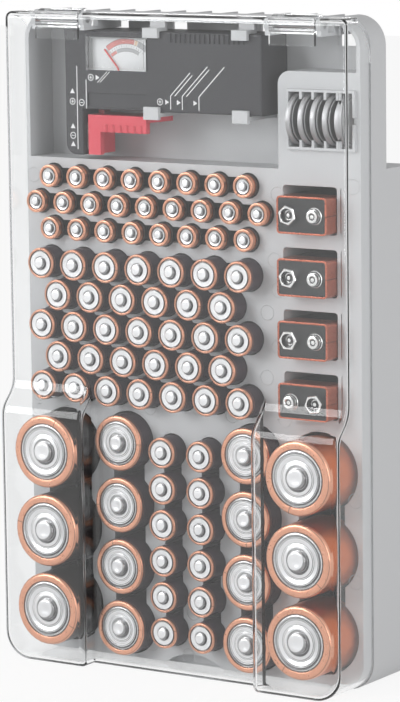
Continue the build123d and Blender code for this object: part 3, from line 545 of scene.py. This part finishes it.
def snap_finish(tone):
    """Plated snaps, with painted shade inside the sockets and painted shade rings round the studs."""
    f = Finish("snap_plating")
    place = f.place()
    r = f.polar()[2]
    socket = f.layer("lot")[0]
    # Painted shade: dark in the socket's well, less dark in a ring at 2 mm, and dark rings at a stud's
    # foot and round its hollow centre.
    inside = r.ramp(3.2, 2.9) * r.ramp(0.9, 1.3) * (1 - abs(r - 2.0).ramp(0.35, 0.15) * 0.9)
    foot = abs(r - 3.2).ramp(0.45, 0.2) + abs(r - 1.2).ramp(0.35, 0.15)
    dark = f.blend(socket, foot, inside)
    lay = f.noise(place, 2.5, 2.0)
    colour = f.blend(dark, f.blend(lay, tuple(c * 0.9 for c in tone), tone), (0.03, 0.03, 0.032))
    return f.done(f.surface(colour, 0.2 + lay * 0.06, f.bump(lay, 0.005), Metallic=1.0))


def metal_finish(name, colour, roughness, grain=(1.0, 1.0, 1.0)):
    """Plated or drawn metal with a fine grain."""
    f = Finish(name)
    place = f.place()
    lay = f.noise(f.stretch(place, *grain), 2.5, 3.0)
    tone = f.blend(lay, tuple(c * 0.78 for c in colour), colour)
    return f.done(f.surface(tone, roughness + lay * 0.14, f.bump(lay, 0.01, f.soft_edges(0.15)),
                            Metallic=1.0))


def print_finish(name, colour):
    """Screen print: nearly flat, with slight gaps where the ink is thin."""
    f = Finish(name)
    place = f.place()
    thin = f.noise(place, 6.0, 3.0).ramp(0.30, 0.55)
    tone = f.blend(thin, tuple(c * 0.8 for c in colour), colour)
    return f.done(f.surface(tone, 0.5 + thin * 0.1, f.bump(thin, 0.01)))


def dial_finish(centre_x, centre_z):
    """White dial with two rows of coloured fields on arcs, and graduation lines."""
    f = Finish("dial_print")
    place = f.place()
    x, _, z = f.parts(place)
    dx = x - centre_x
    dz = z - centre_z
    r = (dx * dx + dz * dz) ** 0.5
    angle = f.wire("ShaderNodeMath", {"operation": "ARCTAN2"}, dx, dz) * (180 / pi)
    paper = f.blend(f.noise(place, 0.7, 2.0), (0.66, 0.66, 0.67), (0.80, 0.80, 0.80))
    colour = paper
    fields = (
        (15.9, 18.3, -38, 14, (0.62, 0.16, 0.14)),
        (15.9, 18.3, 15, 20, (0.72, 0.52, 0.34)),
        (15.9, 18.3, 21, 39, (0.30, 0.30, 0.31)),
        (12.6, 14.0, -38, -24, (0.62, 0.18, 0.15)),
        (12.6, 14.0, -23, 30, (0.36, 0.36, 0.37)),
    )
    for low, high, start, end, tone in fields:
        mask = r.within(low, high) * angle.within(start, end)
        colour = f.blend(mask * 0.9, colour, tone)
    for low, high, start, end, _ in fields:
        rim = abs(r - low).ramp(0.16, 0.06) + abs(r - high).ramp(0.16, 0.06)
        rim = rim * angle.within(start, end)
        colour = f.blend(rim.sum("MINIMUM", rim, 1.0) * 0.7, colour, (0.05, 0.05, 0.05))
    step = f.wire("ShaderNodeMath", {"operation": "PINGPONG"}, angle, 2.6)
    ticks = (step * r * (pi / 180)).ramp(0.14, 0.06) * r.within(14.4, 15.4) * angle.within(-38, 39)
    colour = f.blend(ticks * 0.8, colour, (0.06, 0.06, 0.06))
    return f.done(f.surface(colour, 0.55))


def laminate_finish():
    """Green circuit laminate with copper tracks."""
    f = Finish("circuit_laminate")
    place = f.place()
    x, _, z = f.parts(place)
    weave = f.noise(place, 3.0, 2.0)
    track = f.wire("ShaderNodeMath", {"operation": "PINGPONG"}, x + z * 0.4, 1.6).ramp(0.5, 0.3)
    colour = f.blend(track * 0.6, (0.02, 0.14, 0.06), (0.35, 0.22, 0.07))
    return f.done(f.surface(f.blend(weave * 0.3, colour, (0.03, 0.2, 0.08)), 0.4))


# ---------------------------------------------------------------- cells

ROWS = {f"aaa_row_{i}": ("aaa", 9 if i == 2 else 8) for i in (1, 2, 3)}
ROWS.update({f"aa_row_{i}": ("aa", 6 if i in (2, 4) else 7) for i in range(1, 6)})
for side in ("left", "right"):
    ROWS[f"aa_column_{side}"] = ("aa", 6)
    ROWS[f"c_column_{side}"] = ("c", 4)
    ROWS[f"d_column_{side}"] = ("d", 3)

# share of the radius where the lip ends, terminal radius and height, printed band, and the shares of the
# radius where painted shade lines cross the lip
CELL_LOOKS = {
    "aaa": {"ring": 0.70, "nub": 1.9, "rise": 0.8, "band": 2.6, "lines": (0.86,)},
    "aa": {"ring": 0.82, "nub": 2.6, "rise": 1.2, "band": 0.9, "lines": (0.92,)},
    "c": {"ring": 0.79, "nub": 3.6, "rise": 1.5, "band": 0.9, "lines": (0.96,)},
    "d": {"ring": 0.77, "nub": 4.7, "rise": 1.5, "band": 1.1, "lines": (0.965,)},
}
# Length in millimetres of the copper print on the right column of D cells
COPPER_BAND_ON_THE_RIGHT = 24.0


def cell_centres(group):
    """Centres of a group's cells in X and Z, evenly spaced along the CAD node's box."""
    count = ROWS[group][1]
    low, high = lows(group + "_jackets"), highs(group + "_jackets")
    radius = min(high.x - low.x, high.z - low.z) / 2
    first = (low.x + radius, low.z + radius)
    last = (high.x - radius, high.z - radius)
    steps = [i / (count - 1) for i in range(count)]
    return radius, [(first[0] + (last[0] - first[0]) * s, first[1] + (last[1] - first[1]) * s)
                    for s in steps]


def wrap_rings(radius, look, sizes, length):
    """Profile of a wrap: down the inside, round the foot, up the side, over the shoulder."""
    round_over = radius * sizes.shoulder
    inner = radius - sizes.wrap
    lip = radius * look["ring"]
    arc = [(radius - round_over * (1 - cos(a)), -round_over * (1 - sin(a)))
           for a in (0.0, pi / 6, pi / 3, pi / 2)]
    return ([(inner, -1.0), (inner, -length), (radius, -length)] + arc
            + [(lip + 0.25, 0.0), (lip + 0.04, -0.10), (lip, -0.45), (lip + 0.3, -1.0),
               (inner, -1.0)])


def plate_rings(kind, radius, look, sizes, length):
    """Profile of a can and its end plate: side, rim, press grooves and the terminal."""
    inner = radius - sizes.wrap - 0.05
    lip = radius * look["ring"]
    nub, rise = look["nub"], look["rise"]
    rings = [(inner - 0.4, -length), (inner, -length + 0.4), (inner, -1.25), (lip - 0.35, -1.25),
             (lip - 0.35, -0.12), (lip - 0.5, 0.0)]
    if kind in ("c", "d"):
        span = lip - 0.5 - nub
        rings += [(lip - span * 0.10, 0.0), (lip - span * 0.14, -0.55), (lip - span * 0.20, -0.55),
                  (lip - span * 0.24, -0.05), (lip - span * 0.46, -0.10),
                  (lip - span * 0.50, -0.35), (lip - span * 0.68, -0.35),
                  (lip - span * 0.72, -0.15), (nub + 1.3, -0.15), (nub + 1.0, -0.55)]
    else:
        rings += [(nub + 0.75, -0.05), (nub + 0.5, -0.30)]
    rings += [(nub + 0.12, -0.50 if kind in ("c", "d") else -0.30), (nub, rise * 0.2),
              (nub - 0.10, rise * 0.72), (nub - 0.45, rise * 0.96), (nub - 0.8, rise)]
    if kind in ("c", "d"):
        rings += [(nub * 0.45, rise), (nub * 0.36, rise - 0.12), (0.3, rise - 0.12)]
    else:
        rings += [(nub * 0.3, rise)]
    return rings


# Radius and width in millimetres of each painted shade line in the end plates' press grooves
GROOVE_LINES = {
    "aaa": ((3.35, 0.22), (2.05, 0.30)),
    "aa": ((5.45, 0.22), (2.85, 0.38)),
    "c": ((9.95, 0.32), (8.90, 0.50), (8.10, 0.22), (6.40, 0.18), (5.80, 0.18), (4.1, 0.60)),
    "d": ((12.75, 0.38), (11.30, 0.60), (10.50, 0.26), (8.30, 0.20), (7.60, 0.20), (5.4, 0.75)),
}


class OBJECT_OT_round_cells(bpy.types.Operator):
    """Model the wrap and the end plate of every round cell."""

    bl_idname = "battery_case.round_cells"
    bl_label = "Round cells"

    def execute(self, context):
        settings = context.scene.battery_case
        masters = {}
        for number, (group, (kind, count)) in enumerate(ROWS.items()):
            look = CELL_LOOKS[kind]
            radius, centres = cell_centres(group)
            front = lows(group + "_jackets").y
            length = highs(group + "_jackets").y - front
            full = highs(group + "_cans").y - front
            if kind not in masters:
                wrap = turn(f"{kind}_wrap_master", wrap_rings(radius, look, settings.cells, length),
                            settings.cells.segments, False)
                plate = turn(f"{kind}_plate_master",
                             plate_rings(kind, radius, look, settings.cells, full),
                             settings.cells.segments, True)
                for piece in (wrap, plate):
                    smooth(piece, 40)
                    face_map(piece)
                plating = can_finish(kind, tuple(settings.colours.nickel), GROOVE_LINES[kind],
                                     look["nub"])
                masters[kind] = (wrap, plate, plating)
            wrap, plate, plating = masters[kind]
            band = look["band"]
            if group == "d_column_right":
                band = COPPER_BAND_ON_THE_RIGHT
            colours = settings.colours
            sleeve = tuple(colours.violet if kind in ("c", "aa") else colours.sleeve)
            printed = wrap_finish(group, colours, sleeve, front, radius, look["ring"], band,
                                  look["lines"])
            spins = scatter(100 + number, count) * 2 * pi
            lots = list(zip(scatter(200 + number, count), scatter(300 + number, count)))
            spun = [outwards(x, front, z, spin) for (x, z), spin in zip(centres, spins)]
            upright = [outwards(x, front, z, 0) for x, z in centres]
            wraps = copies(wrap, f"{group}_wraps", spun, lots)
            plates = copies(plate, f"{group}_end_plates", upright, lots)
            finish_piece(wraps, "tray", "cell_jacket", printed, f"{group}_jackets")
            finish_piece(plates, "tray", "cell_can", plating, f"{group}_cans")
        for kind in masters:
            for master in masters[kind][:2]:
                only(master)
                bpy.ops.object.delete()
        return {"FINISHED"}


# ---------------------------------------------------------------- nine volt cells

# Number and height of the cells, and each snap's distance from the cell's middle, in millimetres
NINE_VOLT_COUNT = 4
NINE_VOLT_HEIGHT = 16.6
SNAP_OFFSET = 6.35


def stud_rings():
    """Profile of a round snap stud."""
    return [(3.9, -0.7), (3.9, -0.05), (3.6, 0.25), (2.75, 0.35), (2.55, 1.2), (2.85, 1.7),
            (2.75, 2.2), (2.3, 2.4), (1.7, 2.35), (1.35, 2.0), (0.9, 1.9), (0.3, 2.0)]


def socket_rings():
    """Profile of a snap socket's six-sided crown, with a round well in it."""
    return [(4.3, 0.0), (4.45, 0.35), (4.2, 1.5), (4.5, 2.1), (4.2, 2.4), (3.3, 2.4), (2.9, 2.0),
            (2.7, 0.3), (1.2, 0.2), (0.9, 0.9), (0.3, 0.95)]


class OBJECT_OT_nine_volt_cells(bpy.types.Operator):
    """Model the snaps of the nine volt cells and finish their cases."""

    bl_idname = "battery_case.nine_volt_cells"
    bl_label = "Nine volt cells"

    def execute(self, context):
        colours = context.scene.battery_case.colours
        low, high = lows("nine_volt_jackets"), highs("nine_volt_jackets")
        top = lows("nine_volt_tops")
        middle = (low.x + high.x) / 2
        first, last = high.z - NINE_VOLT_HEIGHT / 2, low.z + NINE_VOLT_HEIGHT / 2
        centres = [first + (last - first) * i / (NINE_VOLT_COUNT - 1) for i in range(NINE_VOLT_COUNT)]
        stud = turn("stud_master", stud_rings(), 28, True)
        crown = turn("crown_master", socket_rings(), 6, True)
        for piece in (stud, crown):
            smooth(piece, 30)
            face_map(piece)
        studs, crowns = [], []
        for i, z in enumerate(centres):
            side = -1 if i == NINE_VOLT_COUNT - 1 else 1
            studs.append(outwards(middle + side * SNAP_OFFSET, top.y, z, 0))
            crowns.append(outwards(middle - side * SNAP_OFFSET, top.y, z, radians(12 + 9 * i)))
        studs = copies(stud, "studs", studs, [(0, 0)] * NINE_VOLT_COUNT)
        crowns = copies(crown, "crowns", crowns, [(1, 0)] * NINE_VOLT_COUNT)
        snaps = join("nine_volt_snap_pair", [studs, crowns])
        for master in (stud, crown):
            only(master)
            bpy.ops.object.delete()
        finish_piece(snaps, "tray", "snap_nickel", snap_finish((0.80, 0.80, 0.79)), "nine_volt_snaps")
        dress_node("nine_volt_jackets", nine_volt_case_finish(colours, low.y, centres))
        dress_node("nine_volt_tops", moulded_finish("nine_volt_cap", (0.018, 0.018, 0.019), 0.32, 0.02))
        return {"FINISHED"}


def nine_volt_case_finish(colours, front, centres):
    """Copper-printed steel case with a lap seam along the middle of its side, painted dark as the shade
    of its pocket past 12 mm behind the front.
    """
    f = Finish("nine_volt_case_print")
    place = f.place()
    _, y, z = f.parts(place)
    depth = y - front
    lay = f.noise(f.stretch(place, 0.5, 4.0, 0.5), 2.0, 2.0)
    copper = tuple(c * share for c, share in zip(colours.copper, (0.80, 0.52, 0.50)))
    metal = f.blend(lay, tuple(c * 0.8 for c in copper), copper)
    seam = None
    for centre in centres:
        line = abs(z - centre).ramp(0.22, 0.08)
        seam = line if seam is None else seam + line
    # Painted shade of the pocket: past 12 mm behind the front the case takes the dark print colour and
    # loses its metal.
    dark = depth.ramp(12.0, 12.4)
    colour = f.blend(dark, metal, tuple(colours.sleeve))
    colour = f.blend(seam * 0.8, colour, (0.06, 0.03, 0.02))
    node = f.node("ShaderNodeBsdfPrincipled", None, Base_Color=colour, Roughness=0.22 + lay * 0.12,
                  Metallic=(1 - dark) * 0.92)
    f.feed(node.inputs["Normal"], f.bump(lay * 0.1 - seam, 0.06, f.soft_edges(0.4)))
    return f.done(Wire(f, node.outputs[0]))


# ---------------------------------------------------------------- coin cells

COIN_COUNT = 5
COIN_THICKNESS = 3.5


class OBJECT_OT_coin_cells(bpy.types.Operator):
    """Model the coin cells as turned cans with a stepped cap."""

    bl_idname = "battery_case.coin_cells"
    bl_label = "Coin cells"

    def execute(self, context):
        low, high = lows("coin_cell_cans"), highs("coin_cell_cans")
        cap_high = highs("coin_cell_caps")
        radius = (high.z - low.z) / 2
        rings = [(radius - 1.2, 0.0), (radius - 0.45, 0.05), (radius - 0.12, 0.25), (radius, 0.6),
                 (radius, 2.25), (radius - 0.15, 2.6), (radius - 0.6, 2.8), (radius - 0.75, 2.75),
                 (radius - 0.95, 2.75), (radius - 1.05, 3.1), (radius - 1.35, 3.42),
                 (radius - 2.0, 3.5), (2.0, 3.5)]
        master = turn("coin_master", rings, 56, True)
        smooth(master, 30)
        face_map(master)
        first = low.x
        last = cap_high.x - COIN_THICKNESS
        places = []
        middle_y, middle_z = (low.y + high.y) / 2, (low.z + high.z) / 2
        for i in range(COIN_COUNT):
            x = first + (last - first) * i / (COIN_COUNT - 1)
            places.append(Matrix.Translation(Vector((x, middle_y, middle_z)) * MM)
                          @ Matrix.Rotation(pi / 2, 4, "Y"))
        coins = copies(master, "coin_cells", places, [(0.2 * i, 0) for i in range(COIN_COUNT)])
        only(master)
        bpy.ops.object.delete()
        # One painted shade line in the groove where the cap steps down.
        steel = can_finish("coin", (0.46, 0.46, 0.47), ((radius - 0.85, 0.35),), rough=0.5)
        finish_piece(coins, "tray", "coin_steel", steel, "coin_cell_cans", "coin_cell_caps")
        return {"FINISHED"}


# ---------------------------------------------------------------- tester

# Width of the printed lines in millimetres
INK_LINE = 0.42


def flat_bar(x0, z0, x1, z1, width, y, lift):
    """A printed line between two points on the tester's face."""
    length = hypot(x1 - x0, z1 - z0)
    deselect()
    bpy.ops.mesh.primitive_cube_add(size=1, location=(0, 0, 0))
    bar = bpy.context.active_object
    bar.scale = (length * MM, lift * MM, width * MM)
    bar.rotation_euler = (0, -atan2(z1 - z0, x1 - x0), 0)
    bar.location = Vector(((x0 + x1) / 2, y, (z0 + z1) / 2)) * MM
    return bar


def flat_ring(x, z, outer, inner, y, lift, segments=28, spin=0.0):
    """A printed ring or, with three segments, a triangle's outline."""
    rings = [(inner, 0.0), (outer, 0.0), (outer, lift), (inner, lift), (inner, 0.0)]
    ring = turn("mark", rings, segments, False)
    ring.matrix_world = outwards(x, y + lift / 2, z, spin)
    return ring


def flat_disc(x, z, radius, y, lift, segments=3, spin=0.0):
    disc = turn("mark", [(radius, 0.0), (radius, lift)], segments, True)
    disc.matrix_world = outwards(x, y + lift / 2, z, spin)
    return disc


class OBJECT_OT_tester(bpy.types.Operator):
    """Print the tester's marks and finish its shells, meter and arm."""

    bl_idname = "battery_case.tester"
    bl_label = "Tester"

    def execute(self, context):
        colours = context.scene.battery_case.colours
        shell_low, shell_high = lows("tester_front_shell"), highs("tester_front_shell")
        front = shell_low.y
        left, foot, top = shell_low.x, shell_low.z, shell_high.z
        marks = []
        y, lift = front - 0.01, 0.05

        def minus(x, z):
            marks.append(flat_ring(x, z, 1.55, 1.2, y, lift))
            marks.append(flat_bar(x - 0.8, z, x + 0.8, z, 0.32, y, lift))

        def plus(x, z):
            minus(x, z)
            marks.append(flat_bar(x, z - 0.8, x, z + 0.8, 0.32, y, lift))

        def arrow(x, z, size, spin):
            marks.append(flat_disc(x, z, size, y, lift, 3, spin))

        leg = left + 4.0
        arrow(leg, foot + 4.5, 1.5, 0)
        minus(leg, foot + 8.6)
        arrow(leg, foot + 12.6, 1.5, 0)
        plus(leg, foot + 24.0)
        arrow(leg, foot + 28.4, 1.5, 0)
        marks.append(flat_bar(leg + 2.6, foot + 2.4, leg + 2.6, foot + 40.0, INK_LINE, y, lift))
        minus(leg + 5.0, foot + 23.6)
        marks.append(flat_bar(leg + 7.6, foot + 21.0, leg + 7.6, foot + 34.0, INK_LINE, y, lift))
        plus(left + 14.2, top - 21.2)
        arrow(left + 17.6, top - 21.2, 1.4, -pi / 2)
        marks.append(flat_bar(left + 19.2, top - 23.4, left + 24.6, top - 18.4, 0.32, y, lift))
        marks.append(flat_bar(left + 17.8, top - 23.4, left + 23.2, top - 18.4, 0.32, y, lift))
        base = top - 31.0
        plus(left + 51.5, base)
        for i, x in enumerate((55.0, 61.2, 70.0)):
            arrow(left + x, base, 1.35, -pi / 2)
            line, bend = left + x + 2.2, base + 2.8
            reach = (10.5, 13.5, 13.5)[i]
            marks.append(flat_bar(line, base - 3.2, line, bend, INK_LINE, y, lift))
            marks.append(flat_bar(line, bend, line + reach, bend + reach, INK_LINE, y, lift))
            if i < 2:
                marks.append(flat_bar(left + x + 4.4, base + 2.8, left + x + 4.4 + reach * 0.9,
                                      base + 2.8 + reach * 0.9, INK_LINE, y, lift))
        made = join("tester_marks", marks)
        tidy_normals(made)
        finish_piece(made, "tray", "dial_white", print_finish("white_ink", (0.78, 0.78, 0.78)))
        shell = moulded_finish("tester_moulding", tuple(colours.tester), 0.42, 0.03, 0.4, 0.12,
                               shine=0.25)
        for node in ("tester_front_shell", "tester_rear_shell"):
            dress_node(node, shell)
        arm = moulded_finish("arm_moulding", tuple(colours.arm), 0.30, 0.01, 0.4, 0.06)
        for node in ("sliding_arm", "guide_shoe"):
            dress_node(node, arm)
        low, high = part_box("needle_coil")
        pivot = (low + high) / 2 / MM
        dress_node("meter_dial", dial_finish(pivot.x, pivot.z))
        dress_node("meter_window", clear_finish("meter_clear_cap", 0.03))
        paint = moulded_finish("needle_paint", (0.62, 0.03, 0.03), 0.35, 0.005, 0.05)
        dress_node("meter_needle", paint)
        dress_node("needle_coil", metal_finish("coil_wire", (0.72, 0.40, 0.22), 0.3, (1, 12, 1)))
        dress_node("meter_movement", metal_finish("movement_steel", (0.45, 0.45, 0.46), 0.4))
        dress_node("resistor_board", laminate_finish())
        for node in ("moving_contact", "fixed_contact", "nine_volt_contacts"):
            dress_node(node, metal_finish(f"{node}_plating", (0.78, 0.77, 0.72), 0.2))
        dress_node("return_spring", metal_finish("spring_wire", (0.6, 0.6, 0.61), 0.25))
        dress_node("tester_screws", metal_finish("screw_zinc", (0.62, 0.62, 0.6), 0.3))
        return {"FINISHED"}


# ---------------------------------------------------------------- tray and cover


class OBJECT_OT_tray(bpy.types.Operator):
    """Finish the tray and add the ejector marks on its deck."""

    bl_idname = "battery_case.tray"
    bl_label = "Tray"

    MARKS = ((46.8, 219.5), (45.0, 190.5), (46.8, 177.5), (41.0, 167.0), (46.6, 152.0), (40.5, 138.0),
             (45.5, 122.5), (-84.0, 120.5), (-22.3, 119.6), (22.0, 119.6), (49.6, 119.4),
             (-84.2, 86.6), (-84.2, 50.4), (84.2, 86.6), (84.2, 50.4), (-3.0, 6.6), (0.0, 27.0),
             (-84.5, 222.5), (84.0, 224.5), (-22.6, 10.2), (22.6, 10.2))

    def execute(self, context):
        colours = context.scene.battery_case.colours
        tray = moulded_finish("tray_moulding", tuple(colours.tray), 0.45, 0.010, 0.35, 0.03,
                              highs("tray").z)
        for node in ("tray", "top_bay"):
            dress_node(node, tray)
        deck = lows("aaa_row_1_jackets").y + 5.0
        rings = [(3.15, 0.0), (3.5, 0.0), (3.45, 0.06), (3.2, 0.06), (3.15, 0.0)]
        master = turn("ejector_master", rings, 36, False)
        places = [outwards(x, deck, z, 0) for x, z in self.MARKS]
        marks = copies(master, "ejector_marks", places, [(0, 0)] * len(places))
        only(master)
        bpy.ops.object.delete()
        smooth(marks, 30)
        finish_piece(marks, "tray", "tray_plastic", tray)
        return {"FINISHED"}


class OBJECT_OT_cover(bpy.types.Operator):
    """Finish the clear cover and the hinge pins."""

    bl_idname = "battery_case.cover"
    bl_label = "Cover"

    def execute(self, context):
        dress_node("cover", clear_finish("cover_clear", 0.02))
        pin = metal_finish("pin_steel", (0.66, 0.66, 0.67), 0.22, (0.3, 4, 4))
        for node in ("hinge_pin_left", "hinge_pin_right"):
            dress_node(node, pin)
        return {"FINISHED"}


# ---------------------------------------------------------------- stage


def see_white(f, shader, share):
    """Shows plain white to the camera, and to what mirrors or bends its rays."""
    rays = f.node("ShaderNodeLightPath")
    seen = (Wire(f, rays.outputs["Is Camera Ray"]) + Wire(f, rays.outputs["Is Glossy Ray"])
            + Wire(f, rays.outputs["Is Transmission Ray"]))
    seen = seen.sum("MINIMUM", seen, 1.0) * share
    white = f.wire("ShaderNodeEmission", None, (1, 1, 1), 1.0)
    return f.wire("ShaderNodeMixShader", None, seen, shader, white)


class OBJECT_OT_case_stage(bpy.types.Operator):
    """Make the floor, the lamps, the surrounding light and the camera."""

    bl_idname = "battery_case.stage"
    bl_label = "Stage"

    def lamp(self, name, place, target, size, power):
        deselect()
        bpy.ops.object.light_add(type="AREA", location=place)
        lamp = bpy.context.active_object
        lamp.name = name
        lamp.data.shape = "RECTANGLE"
        lamp.data.size, lamp.data.size_y = size
        lamp.data.energy = power
        lamp.visible_glossy = False
        lamp.rotation_euler = (Vector(target) - Vector(place)).to_track_quat("-Z", "Y").to_euler()

    def execute(self, context):
        scene = context.scene
        stage = scene.battery_case.stage
        deselect()
        bpy.ops.mesh.primitive_plane_add(size=8, location=(0, 0, 0))
        floor = context.active_object
        floor.name = "floor"
        bpy.ops.object.mode_set(mode="EDIT")
        bpy.ops.mesh.subdivide(number_cuts=3)
        bpy.ops.object.mode_set(mode="OBJECT")
        f = Finish("pale_floor")
        place = f.place()
        tone = f.blend(f.noise(place, 0.02, 2.0), (0.86, 0.86, 0.86), (0.90, 0.90, 0.90))
        dress(floor, f.done(see_white(f, f.surface(tone, 0.8), 0.88)))

        w = Surround("studio")
        rays = w.node("ShaderNodeLightPath")
        seen = (Wire(w, rays.outputs["Is Camera Ray"]) + Wire(w, rays.outputs["Is Transmission Ray"])
                + Wire(w, rays.outputs["Is Glossy Ray"]) * stage.mirrored)
        soft = w.wire("ShaderNodeBackground", None, (1, 1, 1), stage.ambient)
        white = w.wire("ShaderNodeBackground", None, (1, 1, 1), 1.0)
        scene.world = w.done(w.wire("ShaderNodeMixShader", None, seen.sum("MINIMUM", seen, 1.0),
                                    soft, white))

        aim = (0, 0, 0.15)
        self.lamp("key", (-0.9, -1.3, 0.75), aim, (0.9, 0.9), stage.key)
        self.lamp("side", (1.3, -0.5, 0.5), aim, (0.5, 1.0), stage.key * 0.45)

        deselect()
        bpy.ops.object.camera_add(location=stage.eye)
        camera = context.active_object
        camera.name = "photo_camera"
        base = Matrix(((1, 0, 0), (0, 0, -1), (0, 1, 0)))
        look = (Matrix.Rotation(stage.roll, 3, "Z") @ Matrix.Rotation(stage.pitch, 3, "X") @ base
                @ Matrix.Rotation(stage.yaw, 3, "Z"))
        turned = look.transposed() @ Matrix.Diagonal((1, -1, -1))
        camera.rotation_euler = turned.to_euler()
        camera.data.sensor_width = 36
        camera.data.lens = stage.lens
        camera.data.clip_start = 0.05
        scene.camera = camera
        scene.view_settings.view_transform = "Standard"
        return {"FINISHED"}


class VIEW3D_PT_battery_case(bpy.types.Panel):
    """Lists the pieces of the case and their settings."""

    bl_label = "Battery case"
    bl_space_type = "VIEW_3D"
    bl_region_type = "UI"
    bl_category = "Battery case"

    def draw(self, context):
        settings = context.scene.battery_case
        for group in (settings.colours, settings.cells, settings.stage):
            box = self.layout.box()
            for name in group.__annotations__:
                box.prop(group, name)
        for operator in OPERATORS:
            self.layout.operator(operator.bl_idname)


SETTINGS = (CaseColours, CellSizes, StageSettings, BatteryCase)
OPERATORS = (OBJECT_OT_tray, OBJECT_OT_round_cells, OBJECT_OT_nine_volt_cells, OBJECT_OT_coin_cells,
             OBJECT_OT_tester, OBJECT_OT_cover, OBJECT_OT_case_stage)


def register():
    for item in (*SETTINGS, *OPERATORS, VIEW3D_PT_battery_case):
        bpy.utils.register_class(item)
    bpy.types.Scene.battery_case = PointerProperty(type=BatteryCase)


def unregister():
    del bpy.types.Scene.battery_case
    for item in reversed((*SETTINGS, *OPERATORS, VIEW3D_PT_battery_case)):
        bpy.utils.unregister_class(item)


def main():
    register()
    bpy.ops.battery_case.tray()
    bpy.ops.battery_case.round_cells()
    bpy.ops.battery_case.nine_volt_cells()
    bpy.ops.battery_case.coin_cells()
    bpy.ops.battery_case.tester()
    bpy.ops.battery_case.cover()
    bpy.ops.battery_case.stage()


if __name__ == "__main__":
    main()
